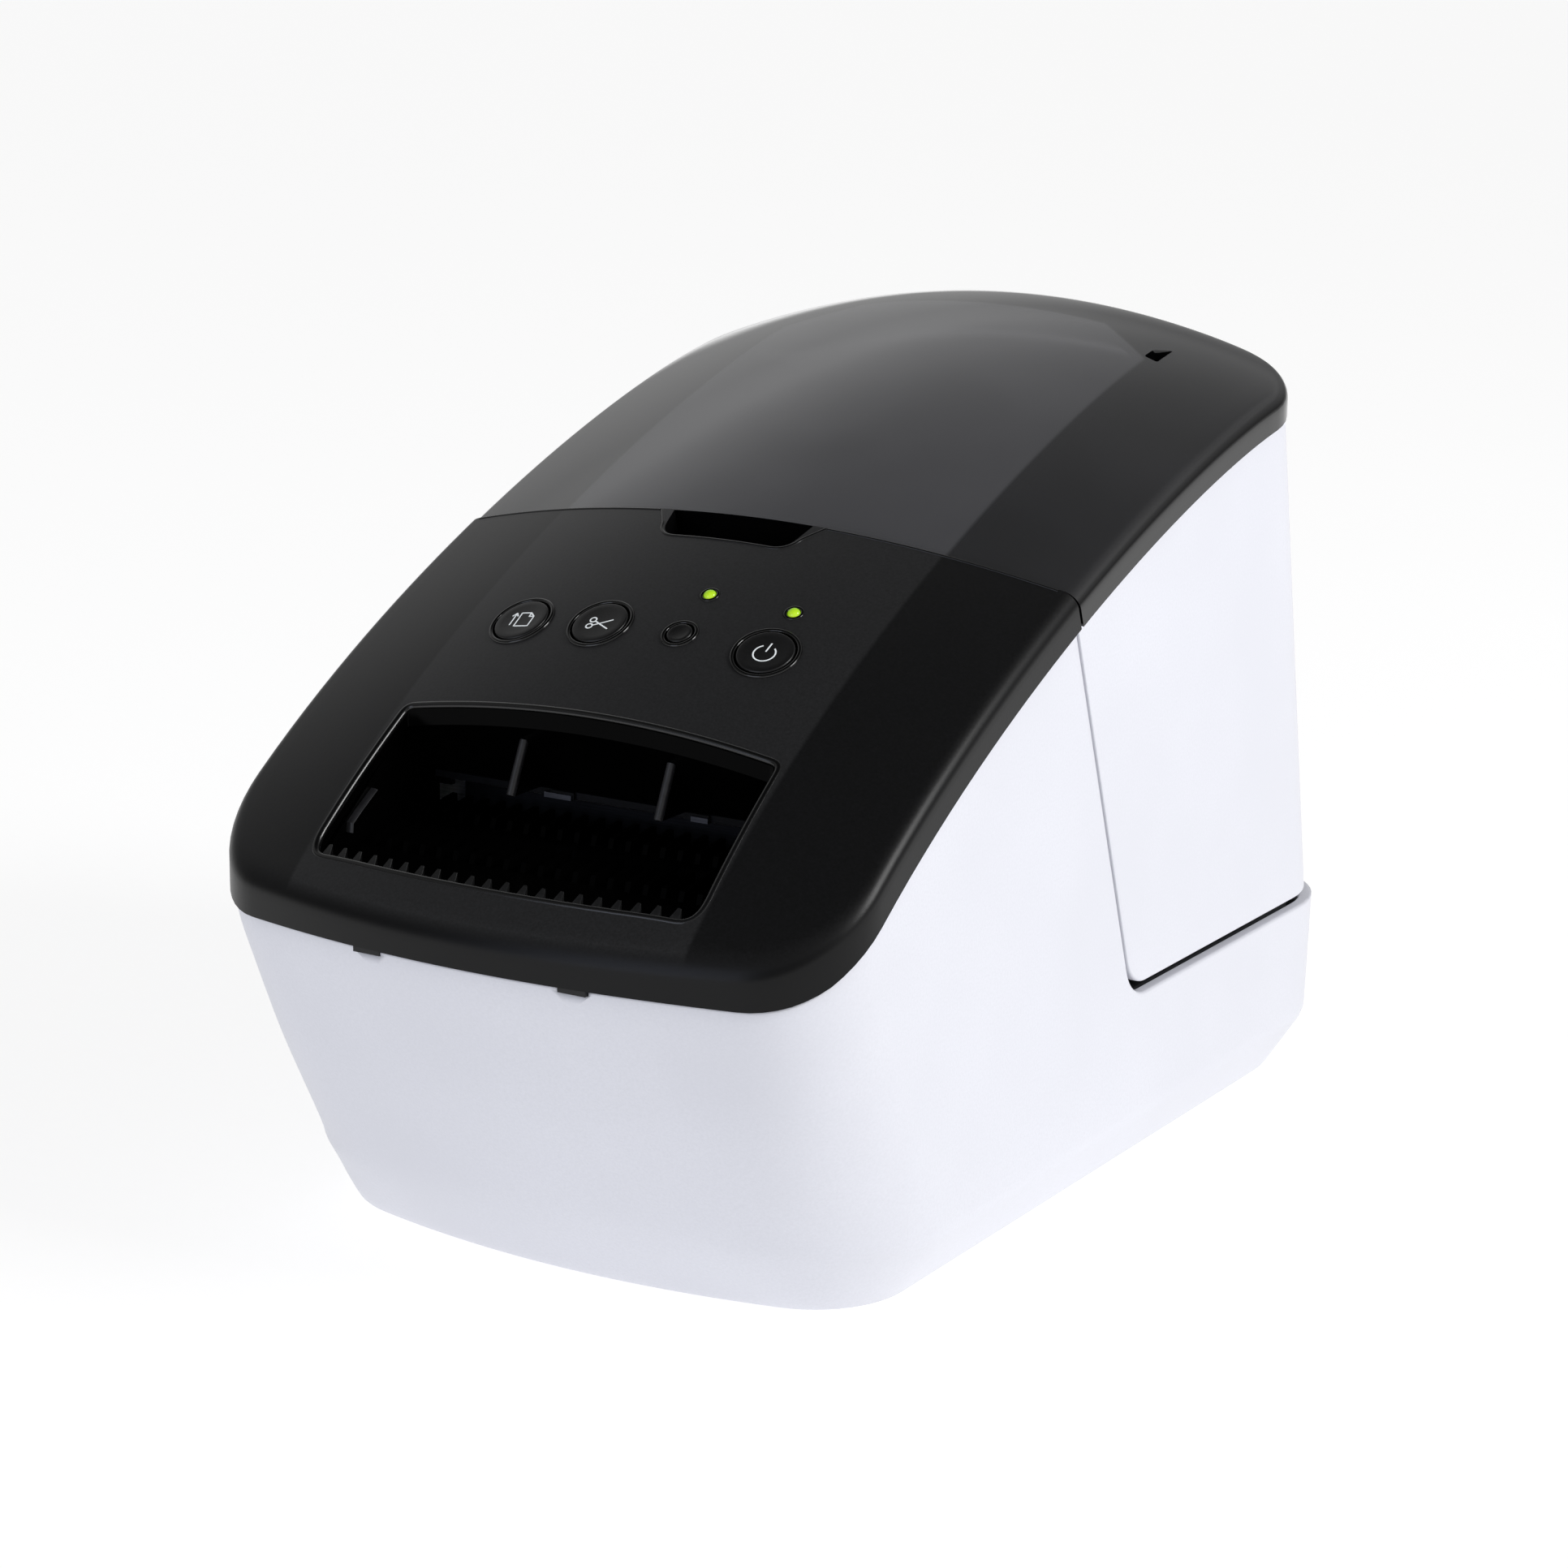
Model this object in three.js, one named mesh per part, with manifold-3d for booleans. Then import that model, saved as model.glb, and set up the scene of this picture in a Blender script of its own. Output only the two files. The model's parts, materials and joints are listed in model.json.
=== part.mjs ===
// A desktop label printer for wide label rolls: a white case with a black sloping top, a smoked lid that
// swings up at the rear, a label outlet at the front and the print and cutting works inside.
// Millimetres, +Z up, the front towards -Y. Heights below are taken from the underside of the case, and
// the whole machine stands on its feet at the end.

import * as THREE from 'three';
import { mergeVertices } from 'three/addons/utils/BufferGeometryUtils.js';
import Module from 'manifold-3d';

const wasm = await Module();
wasm.setup();

// Driving sizes of the whole machine
const machine = {
  depth: 221,
  height: 153,
  halfWidth: 63.75,
  capInset: 1.2,
};

// Clearances that the pieces share
const fit = {
  seat: 0.3,
  running: 0.4,
  lidGap: 0.8,
  rearGap: 2.1,
  curved: 0.9,
  overrun: 6,
  weld: 0.001,
};

// Wall thicknesses
const wall = {
  base: 2.4,
  panel: 2.2,
  lid: 2.2,
  cover: 2,
  frame: 1.6,
  plate: 2.5,
  steel: 1.2,
};

// Steps on round stretches
const steps = {
  corner: 5, front: 10, side: 10, rear: 4, round: 16, small: 10, large: 32, edge: 2, post: 8, curl: 6, wire: 4, halvings: 40,
};

// The side view of the top: a curve through shares of the depth and the height
const crestShares = {
  start: [-0.4498, 0.498],
  startPull: [-0.1907, 0.8379],
  endPull: [0.3388, 1.0604],
  end: [0.3531, 0.9852],
};

// The top is crowned from side to side, flatter at the front
const crown = { frontRadius: 232, rearRadius: 162 };

// The black cap: the edge that the front panel and the lid share
const cap = {
  skirt: 6.4,
  edge: 2.6,
  lipFront: 99.4,
  lipBow: 10.96,
  lipCorner: 15.9,
  rear: 78,
  rearBow: 1.5,
  rearCorner: 14,
  lipZone: 15,
  ridge: 70,
};
const capShares = { taper: 0.0147, lipDrop: 1.05, rearFall: 0.5 };

// The white case, level by level upwards
const caseLevels = [
  { z: 0, half: 55, front: 65.8, bow: 19.1, corner: 25.4, rear: 94.3, rearBow: 9.2, rearCorner: 18 },
  { z: 11.9, half: 62.6, front: 83.2, bow: 10.7, corner: 38.9, rear: 99.1, rearBow: 9.6, rearCorner: 23 },
  { z: 34.9, half: 62.5, front: 91.8, bow: 10, corner: 28, rear: 100.6, rearBow: 9.76, rearCorner: 23 },
  { z: 60, half: 62.5, front: 99.3, bow: 10.96, corner: 16.4, rear: 100.6, rearBow: 9.76, rearCorner: 23 },
  { z: 170, half: 62.5, front: 99.3, bow: 10.96, corner: 16.4, rear: 100.6, rearBow: 9.76, rearCorner: 23 },
];

// The white shell of the lid: its rear wall leans forward
const lidLevels = [
  { z: 20, half: 62.5, front: 99.3, bow: 10.96, corner: 16.4, rear: 103.3, rearBow: 0, rearCorner: 20 },
  { z: 170, half: 62.5, front: 99.3, bow: 10.96, corner: 16.4, rear: 72.7, rearBow: 0, rearCorner: 12 },
];

// The joint between lid and front panel, and the lid's side edge below it
const seam = { y: -21.6, z: 118, lean: 0.36, bow: 2.8, sideZ: 37.3, cornerRadius: 8.5 };

const foot = { radius: 6, proud: 1, recess: 1.3, x: 40, frontY: -44, rearY: 85 };
const shelf = { top: 35.2, thickness: 2.2, front: 87.5 };

// Solids: blocks, bars, tubes, drawn outlines and skins

function solid(geometry) {
  const bare = geometry.clone();
  bare.deleteAttribute('normal');
  bare.deleteAttribute('uv');
  const merged = mergeVertices(bare, fit.weld);
  return new wasm.Manifold(new wasm.Mesh({
    numProp: 3,
    vertProperties: Float32Array.from(merged.attributes.position.array),
    triVerts: Uint32Array.from(merged.index.array),
  }));
}

function geometryOf(body) {
  const mesh = body.getMesh();
  const geometry = new THREE.BufferGeometry();
  geometry.setAttribute('position', new THREE.BufferAttribute(Float32Array.from(mesh.vertProperties), 3));
  geometry.setIndex(new THREE.BufferAttribute(Uint32Array.from(mesh.triVerts), 1));
  geometry.computeVertexNormals();
  return geometry;
}

// A block between two values on each axis
function block(x, y, z) {
  const geometry = new THREE.BoxGeometry(x[1] - x[0], y[1] - y[0], z[1] - z[0]);
  geometry.translate((x[0] + x[1]) / 2, (y[0] + y[1]) / 2, (z[0] + z[1]) / 2);
  return solid(geometry);
}

// Turns a cylinder made along Y to the named axis
function turnTo(geometry, axis) {
  if (axis === 'x') geometry.rotateZ(-Math.PI / 2);
  if (axis === 'z') geometry.rotateX(Math.PI / 2);
  return geometry;
}

// A round bar along an axis, with its other two coordinates in order
function rod(axis, radius, from, to, at, sides = steps.round) {
  const geometry = turnTo(new THREE.CylinderGeometry(radius, radius, to - from, sides), axis);
  const middle = (from + to) / 2;
  if (axis === 'x') geometry.translate(middle, at[0], at[1]);
  if (axis === 'y') geometry.translate(at[0], middle, at[1]);
  if (axis === 'z') geometry.translate(at[0], at[1], middle);
  return solid(geometry);
}

function tube(axis, outer, inner, from, to, at, sides = steps.round) {
  const bore = rod(axis, inner, from - fit.overrun, to + fit.overrun, at, sides);
  return rod(axis, outer, from, to, at, sides).subtract(bore);
}

const planes = {
  x: [new THREE.Vector3(0, 1, 0), new THREE.Vector3(0, 0, 1), new THREE.Vector3(1, 0, 0)],
  y: [new THREE.Vector3(0, 0, 1), new THREE.Vector3(1, 0, 0), new THREE.Vector3(0, 1, 0)],
  z: [new THREE.Vector3(1, 0, 0), new THREE.Vector3(0, 1, 0), new THREE.Vector3(0, 0, 1)],
};

// An outline drawn square to an axis and drawn out along it. Its points are (y, z) for x, (z, x) for y
// and (x, y) for z.
function prism(axis, points, from, to, holes = []) {
  const edge = points.map(pair);
  if (THREE.ShapeUtils.isClockWise(edge)) edge.reverse();
  const shape = new THREE.Shape(edge);
  for (const hole of holes) shape.holes.push(new THREE.Path(hole.map(pair)));
  const geometry = new THREE.ExtrudeGeometry(shape, { depth: to - from, bevelEnabled: false });
  geometry.translate(0, 0, from);
  geometry.applyMatrix4(new THREE.Matrix4().makeBasis(...planes[axis]));
  return solid(geometry);
}

const pair = (point) => new THREE.Vector2(point[0], point[1]);

function circle(centre, radius, sides = steps.small) {
  return Array.from({ length: sides }, (_, i) => {
    const angle = (2 * Math.PI * i) / sides;
    return [centre[0] + radius * Math.cos(angle), centre[1] + radius * Math.sin(angle)];
  });
}

// Points of an arc, both ends included
function arc(centre, radius, from, to, count) {
  return Array.from({ length: count + 1 }, (_, i) => {
    const angle = from + ((to - from) * i) / count;
    return [centre[0] + radius * Math.cos(angle), centre[1] + radius * Math.sin(angle)];
  });
}

const union = (pieces) => pieces.reduce((sum, piece) => sum.add(piece));
const without = (body, cuts) => cuts.reduce((rest, cut) => rest.subtract(cut), body);
const mirrored = (make) => union([make(-1), make(1)]);
const span = (side, near, far) => (side > 0 ? [near, far] : [-far, -near]);

// A closed skin through rings of points, with a fan at each end
function loft(rings) {
  const count = rings[0].length;
  const positions = rings.flat(2);
  const index = [];
  const middle = (ring) => [0, 1, 2].map((k) => ring.reduce((sum, p) => sum + p[k], 0) / count);
  positions.push(...middle(rings[0]), ...middle(rings.at(-1)));
  const first = rings.length * count;
  const last = first + 1;
  for (let i = 0; i < count; i += 1) {
    const next = (i + 1) % count;
    index.push(first, next, i);
    for (let r = 0; r + 1 < rings.length; r += 1) {
      const a = r * count;
      const b = a + count;
      index.push(a + i, a + next, b + next, a + i, b + next, b + i);
    }
    const end = (rings.length - 1) * count;
    index.push(last, end + i, end + next);
  }
  const geometry = new THREE.BufferGeometry();
  geometry.setAttribute('position', new THREE.BufferAttribute(Float32Array.from(positions), 3));
  geometry.setIndex(index);
  return solid(geometry);
}

// The top surface

const fromShares = (shares) => new THREE.Vector2(shares[0] * machine.depth, shares[1] * machine.height);
const crestCurve = new THREE.CubicBezierCurve(
  fromShares(crestShares.start),
  fromShares(crestShares.startPull),
  fromShares(crestShares.endPull),
  fromShares(crestShares.end),
);

// Height of the middle of the top, and its slope, at a place along the depth
function crest(y) {
  const { v0, v1, v2, v3 } = crestCurve;
  if (y <= v0.x) {
    const slope = (v1.y - v0.y) / (v1.x - v0.x);
    return { z: v0.y + slope * (y - v0.x), slope };
  }
  if (y >= v3.x) {
    const slope = (v3.y - v2.y) / (v3.x - v2.x);
    return { z: v3.y + slope * (y - v3.x), slope };
  }
  let low = 0;
  let high = 1;
  for (let turn = 0; turn < steps.halvings; turn += 1) {
    const t = (low + high) / 2;
    if (crestCurve.getPoint(t).x < y) low = t;
    else high = t;
  }
  const tangent = crestCurve.getTangent(low);
  return { z: crestCurve.getPoint(low).y, slope: tangent.y / tangent.x };
}

function crownCurve(y) {
  const front = -cap.lipFront - cap.lipBow;
  const share = (y - front) / (cap.rear - front);
  return (1 - share) / crown.frontRadius + share / crown.rearRadius;
}

// How much further down a layer lies than it is thick
function dropShare(y) {
  const square = Math.hypot(1, crest(Math.min(y, cap.ridge)).slope);
  const front = -cap.lipFront - cap.lipBow;
  const blend = Math.min(Math.max((y - front) / cap.lipZone, 0), 1);
  return capShares.lipDrop + (square - capShares.lipDrop) * blend;
}

const topZ = (x, y, depth = 0) => crest(y).z - (x * x * crownCurve(y)) / 2 - depth * dropShare(y);

// The lower border of the cap keeps to the top, but falls evenly behind its ridge
function borderZ(x, y, depth) {
  return topZ(x, Math.min(y, cap.ridge), depth) - Math.max(y - cap.ridge, 0) * capShares.rearFall;
}

function topNormal(x, y) {
  return new THREE.Vector3(x * crownCurve(y), -crest(y).slope, 1).normalize();
}

// Outlines seen from above

// A rounded outline with a bowed front and rear, always with the same count of points
function outline(level, inset = 0) {
  const half = level.half - inset;
  const points = [];
  const bowed = (edge, bow, x) => edge + bow * (1 - (x / half) ** 2);
  for (const end of [-1, 1]) {
    const corner = Math.max((end < 0 ? level.corner : level.rearCorner) - inset, wall.base);
    const edge = (end < 0 ? level.front : level.rear) - inset;
    const bow = end < 0 ? level.bow : level.rearBow;
    const straight = half - corner;
    const cornerY = bowed(edge, bow, straight) - corner;
    const count = end < 0 ? steps.front : steps.rear;
    const firstArc = arc([end * straight, end * cornerY], corner, end < 0 ? Math.PI : 0,
      end < 0 ? 1.5 * Math.PI : Math.PI / 2, steps.corner);
    const secondArc = arc([-end * straight, end * cornerY], corner, end < 0 ? 1.5 * Math.PI : Math.PI / 2,
      end < 0 ? 2 * Math.PI : Math.PI, steps.corner);
    points.push(...firstArc);
    for (let i = 1; i < count; i += 1) {
      const x = end * straight * (1 - (2 * i) / count);
      points.push([x, end * bowed(edge, bow, x)]);
    }
    points.push(...secondArc);
    const start = secondArc.at(-1);
    const otherCorner = Math.max((end < 0 ? level.rearCorner : level.corner) - inset, wall.base);
    const otherEdge = (end < 0 ? level.rear : level.front) - inset;
    const otherBow = end < 0 ? level.rearBow : level.bow;
    const stop = -end * (bowed(otherEdge, otherBow, half - otherCorner) - otherCorner);
    for (let i = 1; i < steps.side; i += 1) {
      points.push([start[0], start[1] + ((stop - start[1]) * i) / steps.side]);
    }
  }
  return points;
}

const shrink = (points, share, centreY) => points.map(([x, y]) => [x * share, centreY + (y - centreY) * share]);
const lift = (points, height) => points.map(([x, y]) => [x, y, height(x, y)]);
const levelRing = (level, inset) => lift(outline(level, inset), () => level.z);
const hull = (levels, inset = 0) => loft(levels.map((level) => levelRing(level, inset)));

const capLevel = {
  half: machine.halfWidth,
  front: cap.lipFront,
  bow: cap.lipBow,
  corner: cap.lipCorner,
  rear: cap.rear,
  rearBow: -cap.rearBow,
  rearCorner: cap.rearCorner,
};
const ringShares = [0.3, 0.65];

// The cap's outline widens a little towards the rear
function capOutline(inset) {
  return outline(capLevel, inset).map(([x, y]) => [x * (1 + (capShares.taper * y) / machine.depth), y]);
}

// A body between two heights that vary over the plan, with an edge worked in steps of inset and drop
function slab(outlineAt, low, high, edge = [{ inset: 0, drop: 0 }]) {
  const rim = outlineAt(0);
  const lastRim = outlineAt(edge.at(-1).inset);
  const centreY = (cap.rear - cap.lipFront) / 2;
  const inner = (points, share) => shrink(points, share, centreY);
  return loft([
    ...ringShares.map((share) => lift(inner(rim, share), low)),
    lift(rim, low),
    ...edge.map((step) => lift(outlineAt(step.inset), (x, y) => high(x, y) - step.drop)),
    ...ringShares.toReversed().map((share) => lift(inner(lastRim, share), high)),
  ]);
}

// Everything under a layer of the cap, out past the walls, and level behind the cap's rear edge
function under(depth) {
  const height = (x, y) => borderZ(x, Math.min(y, cap.rear), depth);
  const front = slab((inset) => capOutline(inset - fit.overrun), () => -fit.overrun, height);
  const half = machine.halfWidth + fit.overrun;
  const ridge = Array.from({ length: steps.round + 1 }, (_, i) => {
    const x = half * ((2 * i) / steps.round - 1);
    return [height(x, cap.rear), x];
  });
  const rear = prism('y', [...ridge, [-fit.overrun, half], [-fit.overrun, -half]], cap.rear, machine.depth);
  return front.add(rear);
}

// The edge between top and skirt is a quarter round
const roundEdge = Array.from({ length: steps.edge + 1 }, (_, i) => {
  const angle = ((Math.PI / 2) * i) / steps.edge;
  return { inset: cap.edge * (1 - Math.cos(angle)), drop: cap.edge * (1 - Math.sin(angle)) };
});
const capBlock = slab(capOutline, (x, y) => borderZ(x, y, cap.skirt), (x, y) => topZ(x, y), roundEdge);

// A hollow under the cap, leaving a skin of the given thickness
function capHollow(thickness) {
  return slab((inset) => capOutline(inset + thickness), () => 0, (x, y) => topZ(x, y, thickness));
}

// The lid's part of the machine

// Everything in front of the leaning seam, moved by a shift
function aheadOfSeam(shift) {
  const half = machine.halfWidth + fit.overrun;
  const edge = Array.from({ length: steps.front + 1 }, (_, i) => {
    const x = half - (2 * half * i) / steps.front;
    const bow = seam.bow * (1 - (x / half) ** 2);
    return [x, seam.y - bow + shift];
  });
  const points = [...edge, [-half, -machine.depth], [half, -machine.depth]];
  const body = prism('z', points, -machine.height, machine.height);
  const shear = new THREE.Matrix4().makeShear(0, 0, 0, 0, 0, -seam.lean);
  const geometry = geometryOf(body).applyMatrix4(shear).translate(0, 0, seam.z);
  return solid(geometry);
}

const seamAt = (z) => seam.y - seam.lean * (z - seam.z);

// The side view of what the lid takes up, grown or shrunk by a gap
function lidZone(gap, rearGap) {
  const low = seam.sideZ - rearGap;
  const start = seamAt(low) - gap;
  const radius = seam.cornerRadius + gap;
  const lean = Math.atan(seam.lean);
  const turn = Math.PI / 2 + lean;
  const reach = radius * Math.tan(turn / 2);
  const far = machine.depth;
  const top = machine.height + machine.height;
  return prism('x', [
    [far, low],
    [far, top],
    [seamAt(top) - gap, top],
    ...arc([start + reach, low + radius], radius, Math.PI + lean, 1.5 * Math.PI, steps.corner),
  ], -machine.depth, machine.depth);
}

// The hinge at the lower rear
const hinge = { y: 96.6, z: 41, pin: 1.5, barrel: 3.4, web: 7, knuckleIn: 29, knuckleOut: 37.3, earWidth: 4 };
const hingeAt = [hinge.y, hinge.z];
const earSpan = [hinge.knuckleOut + fit.seat, hinge.knuckleOut + fit.seat + hinge.earWidth];
const pinHole = hinge.pin + fit.seat;

// The sockets in a flat bay in the rear wall
const bay = { left: -46, right: 40, low: 7, high: 30, face: 102.4 };
const inlet = { x: -29, width: 22, height: 14, depth: 22, recessWidth: 17.4, recessHeight: 9, recess: 14, pin: 1.2 };
const inletPins = { apart: 8.6, length: 9 };
const port = { x: 26, width: 12.4, height: 11.4, depth: 16, recessWidth: 9, recessHeight: 8, recess: 12 };
const portTongue = { width: 5.6, height: 3.2, setBack: 5 };
const board = {
  under: 8, thickness: 1.6, front: 20, rear: 97, inner: 4, outer: 39,
  post: 2.5, frontPost: 25, rearPost: 81,
};
const socketLow = board.under + board.thickness + fit.seat;

// Small catches under the rim of the front
const rimSlot = { x: 20.5, width: 7, height: 1.4, depth: 1.2 };

function baseHousing() {
  const outer = hull(caseLevels).intersect(under(cap.skirt + fit.seat));
  const underShelf = block([-machine.depth, machine.depth], [shelf.front, machine.depth],
    [shelf.top - shelf.thickness, machine.height]);
  const hollow = hull([
    { ...caseLevels[0], z: -fit.overrun },
    ...caseLevels,
  ], wall.base).subtract(underShelf);
  const bayWall = block([bay.left - wall.base, bay.right + wall.base],
    [bay.face - wall.base, machine.depth], [bay.low - wall.base, bay.high + wall.base]);
  const shell = outer.subtract(hollow).add(bayWall.intersect(outer));
  const knuckles = mirrored((side) => {
    const x = span(side, hinge.knuckleIn, hinge.knuckleOut);
    const stalk = block(x, [hinge.y - hinge.barrel, hinge.y + hinge.barrel],
      [shelf.top - shelf.thickness, hinge.z]);
    return rod('x', hinge.barrel, x[0], x[1], hingeAt).add(stalk);
  });
  const slots = mirrored((side) => {
    const x = side * rimSlot.x;
    const surface = -cap.lipFront - cap.lipBow * (1 - (x / machine.halfWidth) ** 2);
    const z = topZ(x, surface, cap.skirt);
    return block([x - rimSlot.width / 2, x + rimSlot.width / 2],
      [surface - fit.overrun, surface + machine.capInset + rimSlot.depth],
      [z - rimSlot.height, z + fit.overrun]);
  });
  return without(shell.subtract(lidZone(fit.lidGap, fit.rearGap)).add(knuckles), [
    rod('x', pinHole, -machine.depth, machine.depth, hingeAt),
    block([bay.left, bay.right], [bay.face, machine.depth], [bay.low, bay.high]),
    socketBlock(inlet, fit.seat, fit.overrun),
    socketBlock(port, fit.seat, fit.overrun),
    slots,
  ]);
}

function socketBlock(socket, gap, past) {
  return block(
    [socket.x - socket.width / 2 - gap, socket.x + socket.width / 2 + gap],
    [bay.face - socket.depth, bay.face + past],
    [socketLow - gap, socketLow + socket.height + gap],
  );
}

function mainsInlet() {
  const middle = socketLow + inlet.height / 2;
  const half = inlet.recessHeight / 2;
  const reach = inlet.recessWidth / 2 - half;
  const shape = [
    ...arc([middle, inlet.x + reach], half, 0, Math.PI, steps.corner),
    ...arc([middle, inlet.x - reach], half, Math.PI, 2 * Math.PI, steps.corner),
  ];
  const recess = prism('y', shape, bay.face - inlet.recess, bay.face + fit.overrun);
  const floor = bay.face - inlet.recess - wall.steel;
  const pins = mirrored((side) => rod('y', inlet.pin, floor, bay.face - inlet.recess + inletPins.length,
    [inlet.x + (side * inletPins.apart) / 2, middle], steps.small));
  return socketBlock(inlet, 0, 0).subtract(recess).add(pins);
}

function dataPort() {
  const middle = socketLow + port.height / 2;
  const opening = (width, height, from, to) => block(
    [port.x - width / 2, port.x + width / 2], [from, to], [middle - height / 2, middle + height / 2]);
  const floor = bay.face - port.recess;
  return socketBlock(port, 0, 0)
    .subtract(opening(port.recessWidth, port.recessHeight, floor, bay.face + fit.overrun))
    .add(opening(portTongue.width, portTongue.height, floor - wall.steel, bay.face - portTongue.setBack));
}

// The bottom: plate, feet, screws and the legs that they hold
const leg = { half: 3.6, rearX: 44, cradleFront: 4, cradleRear: 68, deckX: 38, deckFront: -60, deckRear: -26 };
const screw = { head: 3, headHeight: 1.3, shank: 1.3, length: 12, recess: 1.6, slotWidth: 0.7 };
const screwPlaces = {
  front_left: [-leg.deckX, leg.deckFront],
  front_right: [leg.deckX, leg.deckFront],
  rear_left: [-leg.rearX, leg.cradleRear],
  rear_right: [leg.rearX, leg.cradleRear],
};
const footPlaces = {
  front_left: [-foot.x, foot.frontY],
  front_right: [foot.x, foot.frontY],
  rear_left: [-foot.x, foot.rearY],
  rear_right: [foot.x, foot.rearY],
};
const screwBore = screw.shank + fit.seat;

function bottomPlate() {
  const inset = wall.base + fit.seat;
  const level = caseLevels[0];
  const plate = loft([
    lift(outline(level, inset), () => 0),
    lift(outline(level, inset), () => wall.plate),
  ]);
  const posts = [];
  for (const side of [-1, 1]) {
    for (const y of [board.frontPost, board.rearPost]) {
      for (const x of [board.inner + board.post, board.outer - board.post]) {
        posts.push(rod('z', board.post, wall.plate / 2, board.under - fit.seat, [side * x, y], steps.post));
      }
    }
  }
  const cuts = [];
  for (const place of Object.values(footPlaces)) {
    cuts.push(rod('z', foot.radius + fit.seat, -fit.overrun, foot.recess, place));
  }
  for (const place of Object.values(screwPlaces)) {
    cuts.push(rod('z', screw.head + fit.seat, -fit.overrun, screw.recess, place));
    cuts.push(rod('z', screwBore, -fit.overrun, wall.plate + fit.overrun, place, steps.small));
  }
  return without(union([plate, ...posts]), cuts);
}

function footAt(place) {
  return rod('z', foot.radius, -foot.proud, foot.recess - fit.seat, place);
}

function screwAt(place) {
  const top = screw.recess - fit.seat;
  const head = rod('z', screw.head, top - screw.headHeight, top, place, steps.small);
  const shank = rod('z', screw.shank, top - screw.headHeight / 2, screw.length, place, steps.small);
  const slot = block([place[0] - fit.overrun, place[0] + fit.overrun],
    [place[1] - screw.slotWidth / 2, place[1] + screw.slotWidth / 2],
    [-fit.overrun, top - screw.headHeight / 2]);
  return head.add(shank).subtract(slot);
}

const legBlock = (x, y, top) => block([x - leg.half, x + leg.half], [y - leg.half, y + leg.half],
  [wall.plate + fit.seat, top]);
const pilot = (place) => rod('z', screwBore, -fit.overrun, screw.length + fit.running, place, steps.small);

// The label roll on its spool, and the cradle that carries it
const roll = { y: 28, z: 86, radius: 41, halfWidth: 31, core: 15, coreBore: 12.5 };
const rollAt = [roll.y, roll.z];
const spool = { hub: 12.1, hubDepth: 8, flange: 19, flangeThickness: 1.6, stub: 4, stubEnd: 54, grip: 6.5 };
const cradle = {
  half: 50,
  sideWall: 2.5,
  troughRadius: 44.5,
  thickness: 2,
  front: -18,
  rear: 82,
  low: 33,
  flangeEdge: 59.3,
  top: 101,
  rearTop: 72,
  frontTop: 104,
  paperLow: 73.5,
  paperHigh: 80.5,
  paperHalf: 34,
  deckFront: 60.8,
  wallLow: 71.6,
};
const cradleShares = { frontEnd: 0.11, rearEnd: 0.11 };

function rollCradle() {
  const outer = cradle.half + cradle.sideWall;
  const from = Math.PI * (1 + cradleShares.frontEnd);
  const to = Math.PI * (2 - cradleShares.rearEnd);
  const outside = cradle.troughRadius + cradle.thickness;
  const trough = prism('x', [
    ...arc(rollAt, outside, from, to, steps.round),
    ...arc(rollAt, cradle.troughRadius, to, from, steps.round),
  ], -cradle.half - wall.steel, cradle.half + wall.steel);
  const rearShoulder = roll.y + outside * Math.cos(to);
  const sideShape = [
    [cradle.front, cradle.low],
    [cradle.rear, cradle.low],
    [cradle.rear, cradle.low + wall.base],
    [rearShoulder, cradle.rearTop],
    [rearShoulder - leg.half, cradle.top],
    [roll.y - cradle.troughRadius / 2, cradle.top],
    [cradle.front + leg.half, cradle.frontTop],
    [cradle.front, cradle.frontTop],
  ];
  const legs = [];
  const pilots = [];
  const voids = [rod('x', cradle.troughRadius, -cradle.half, cradle.half, rollAt, steps.large)];
  for (const side of [-1, 1]) {
    legs.push(legBlock(side * leg.rearX, leg.cradleFront, roll.z - cradle.troughRadius + leg.half));
    legs.push(legBlock(side * leg.rearX, leg.cradleRear, cradle.low + wall.steel));
    pilots.push(pilot([side * leg.rearX, leg.cradleRear]));
  }
  const walls = mirrored((side) => prism('x', sideShape, ...span(side, cradle.half, outer)));
  const flanges = mirrored((side) => block(span(side, outer - wall.steel, cradle.flangeEdge),
    [cradle.front + leg.half, cradle.rear], [cradle.low, cradle.low + cradle.thickness]));
  const rearDeck = block([-outer, outer], [cradle.deckFront, cradle.rear],
    [cradle.low, cradle.low + cradle.thickness]);
  const frontWall = block([-outer, outer], [cradle.front, cradle.front + cradle.thickness],
    [cradle.wallLow, cradle.frontTop]);
  const paperSlot = block([-cradle.paperHalf, cradle.paperHalf], [cradle.front - fit.overrun, 0],
    [cradle.paperLow, cradle.paperHigh]);
  const stubSlot = spool.stub + fit.running;
  const spoolSlots = union([
    rod('x', stubSlot, -machine.depth, machine.depth, rollAt),
    block([-machine.depth, machine.depth], [roll.y - stubSlot, roll.y + stubSlot],
      [roll.z, machine.height]),
  ]);
  const body = union([trough, walls, flanges, rearDeck, frontWall, ...legs]);
  return without(body, [...voids, spoolSlots, paperSlot, ...pilots]);
}

function spoolArm(side) {
  const inner = roll.halfWidth + fit.running;
  const parts = [
    [spool.hub, inner - spool.hubDepth, inner + spool.flangeThickness / 2],
    [spool.flange, inner, inner + spool.flangeThickness],
    [spool.grip, inner + spool.flangeThickness / 2, cradle.half - fit.running * 2],
    [spool.stub, inner + spool.flangeThickness, spool.stubEnd],
  ];
  return union(parts.map(([radius, near, far]) => rod('x', radius, ...span(side, near, far), rollAt)));
}

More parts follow.
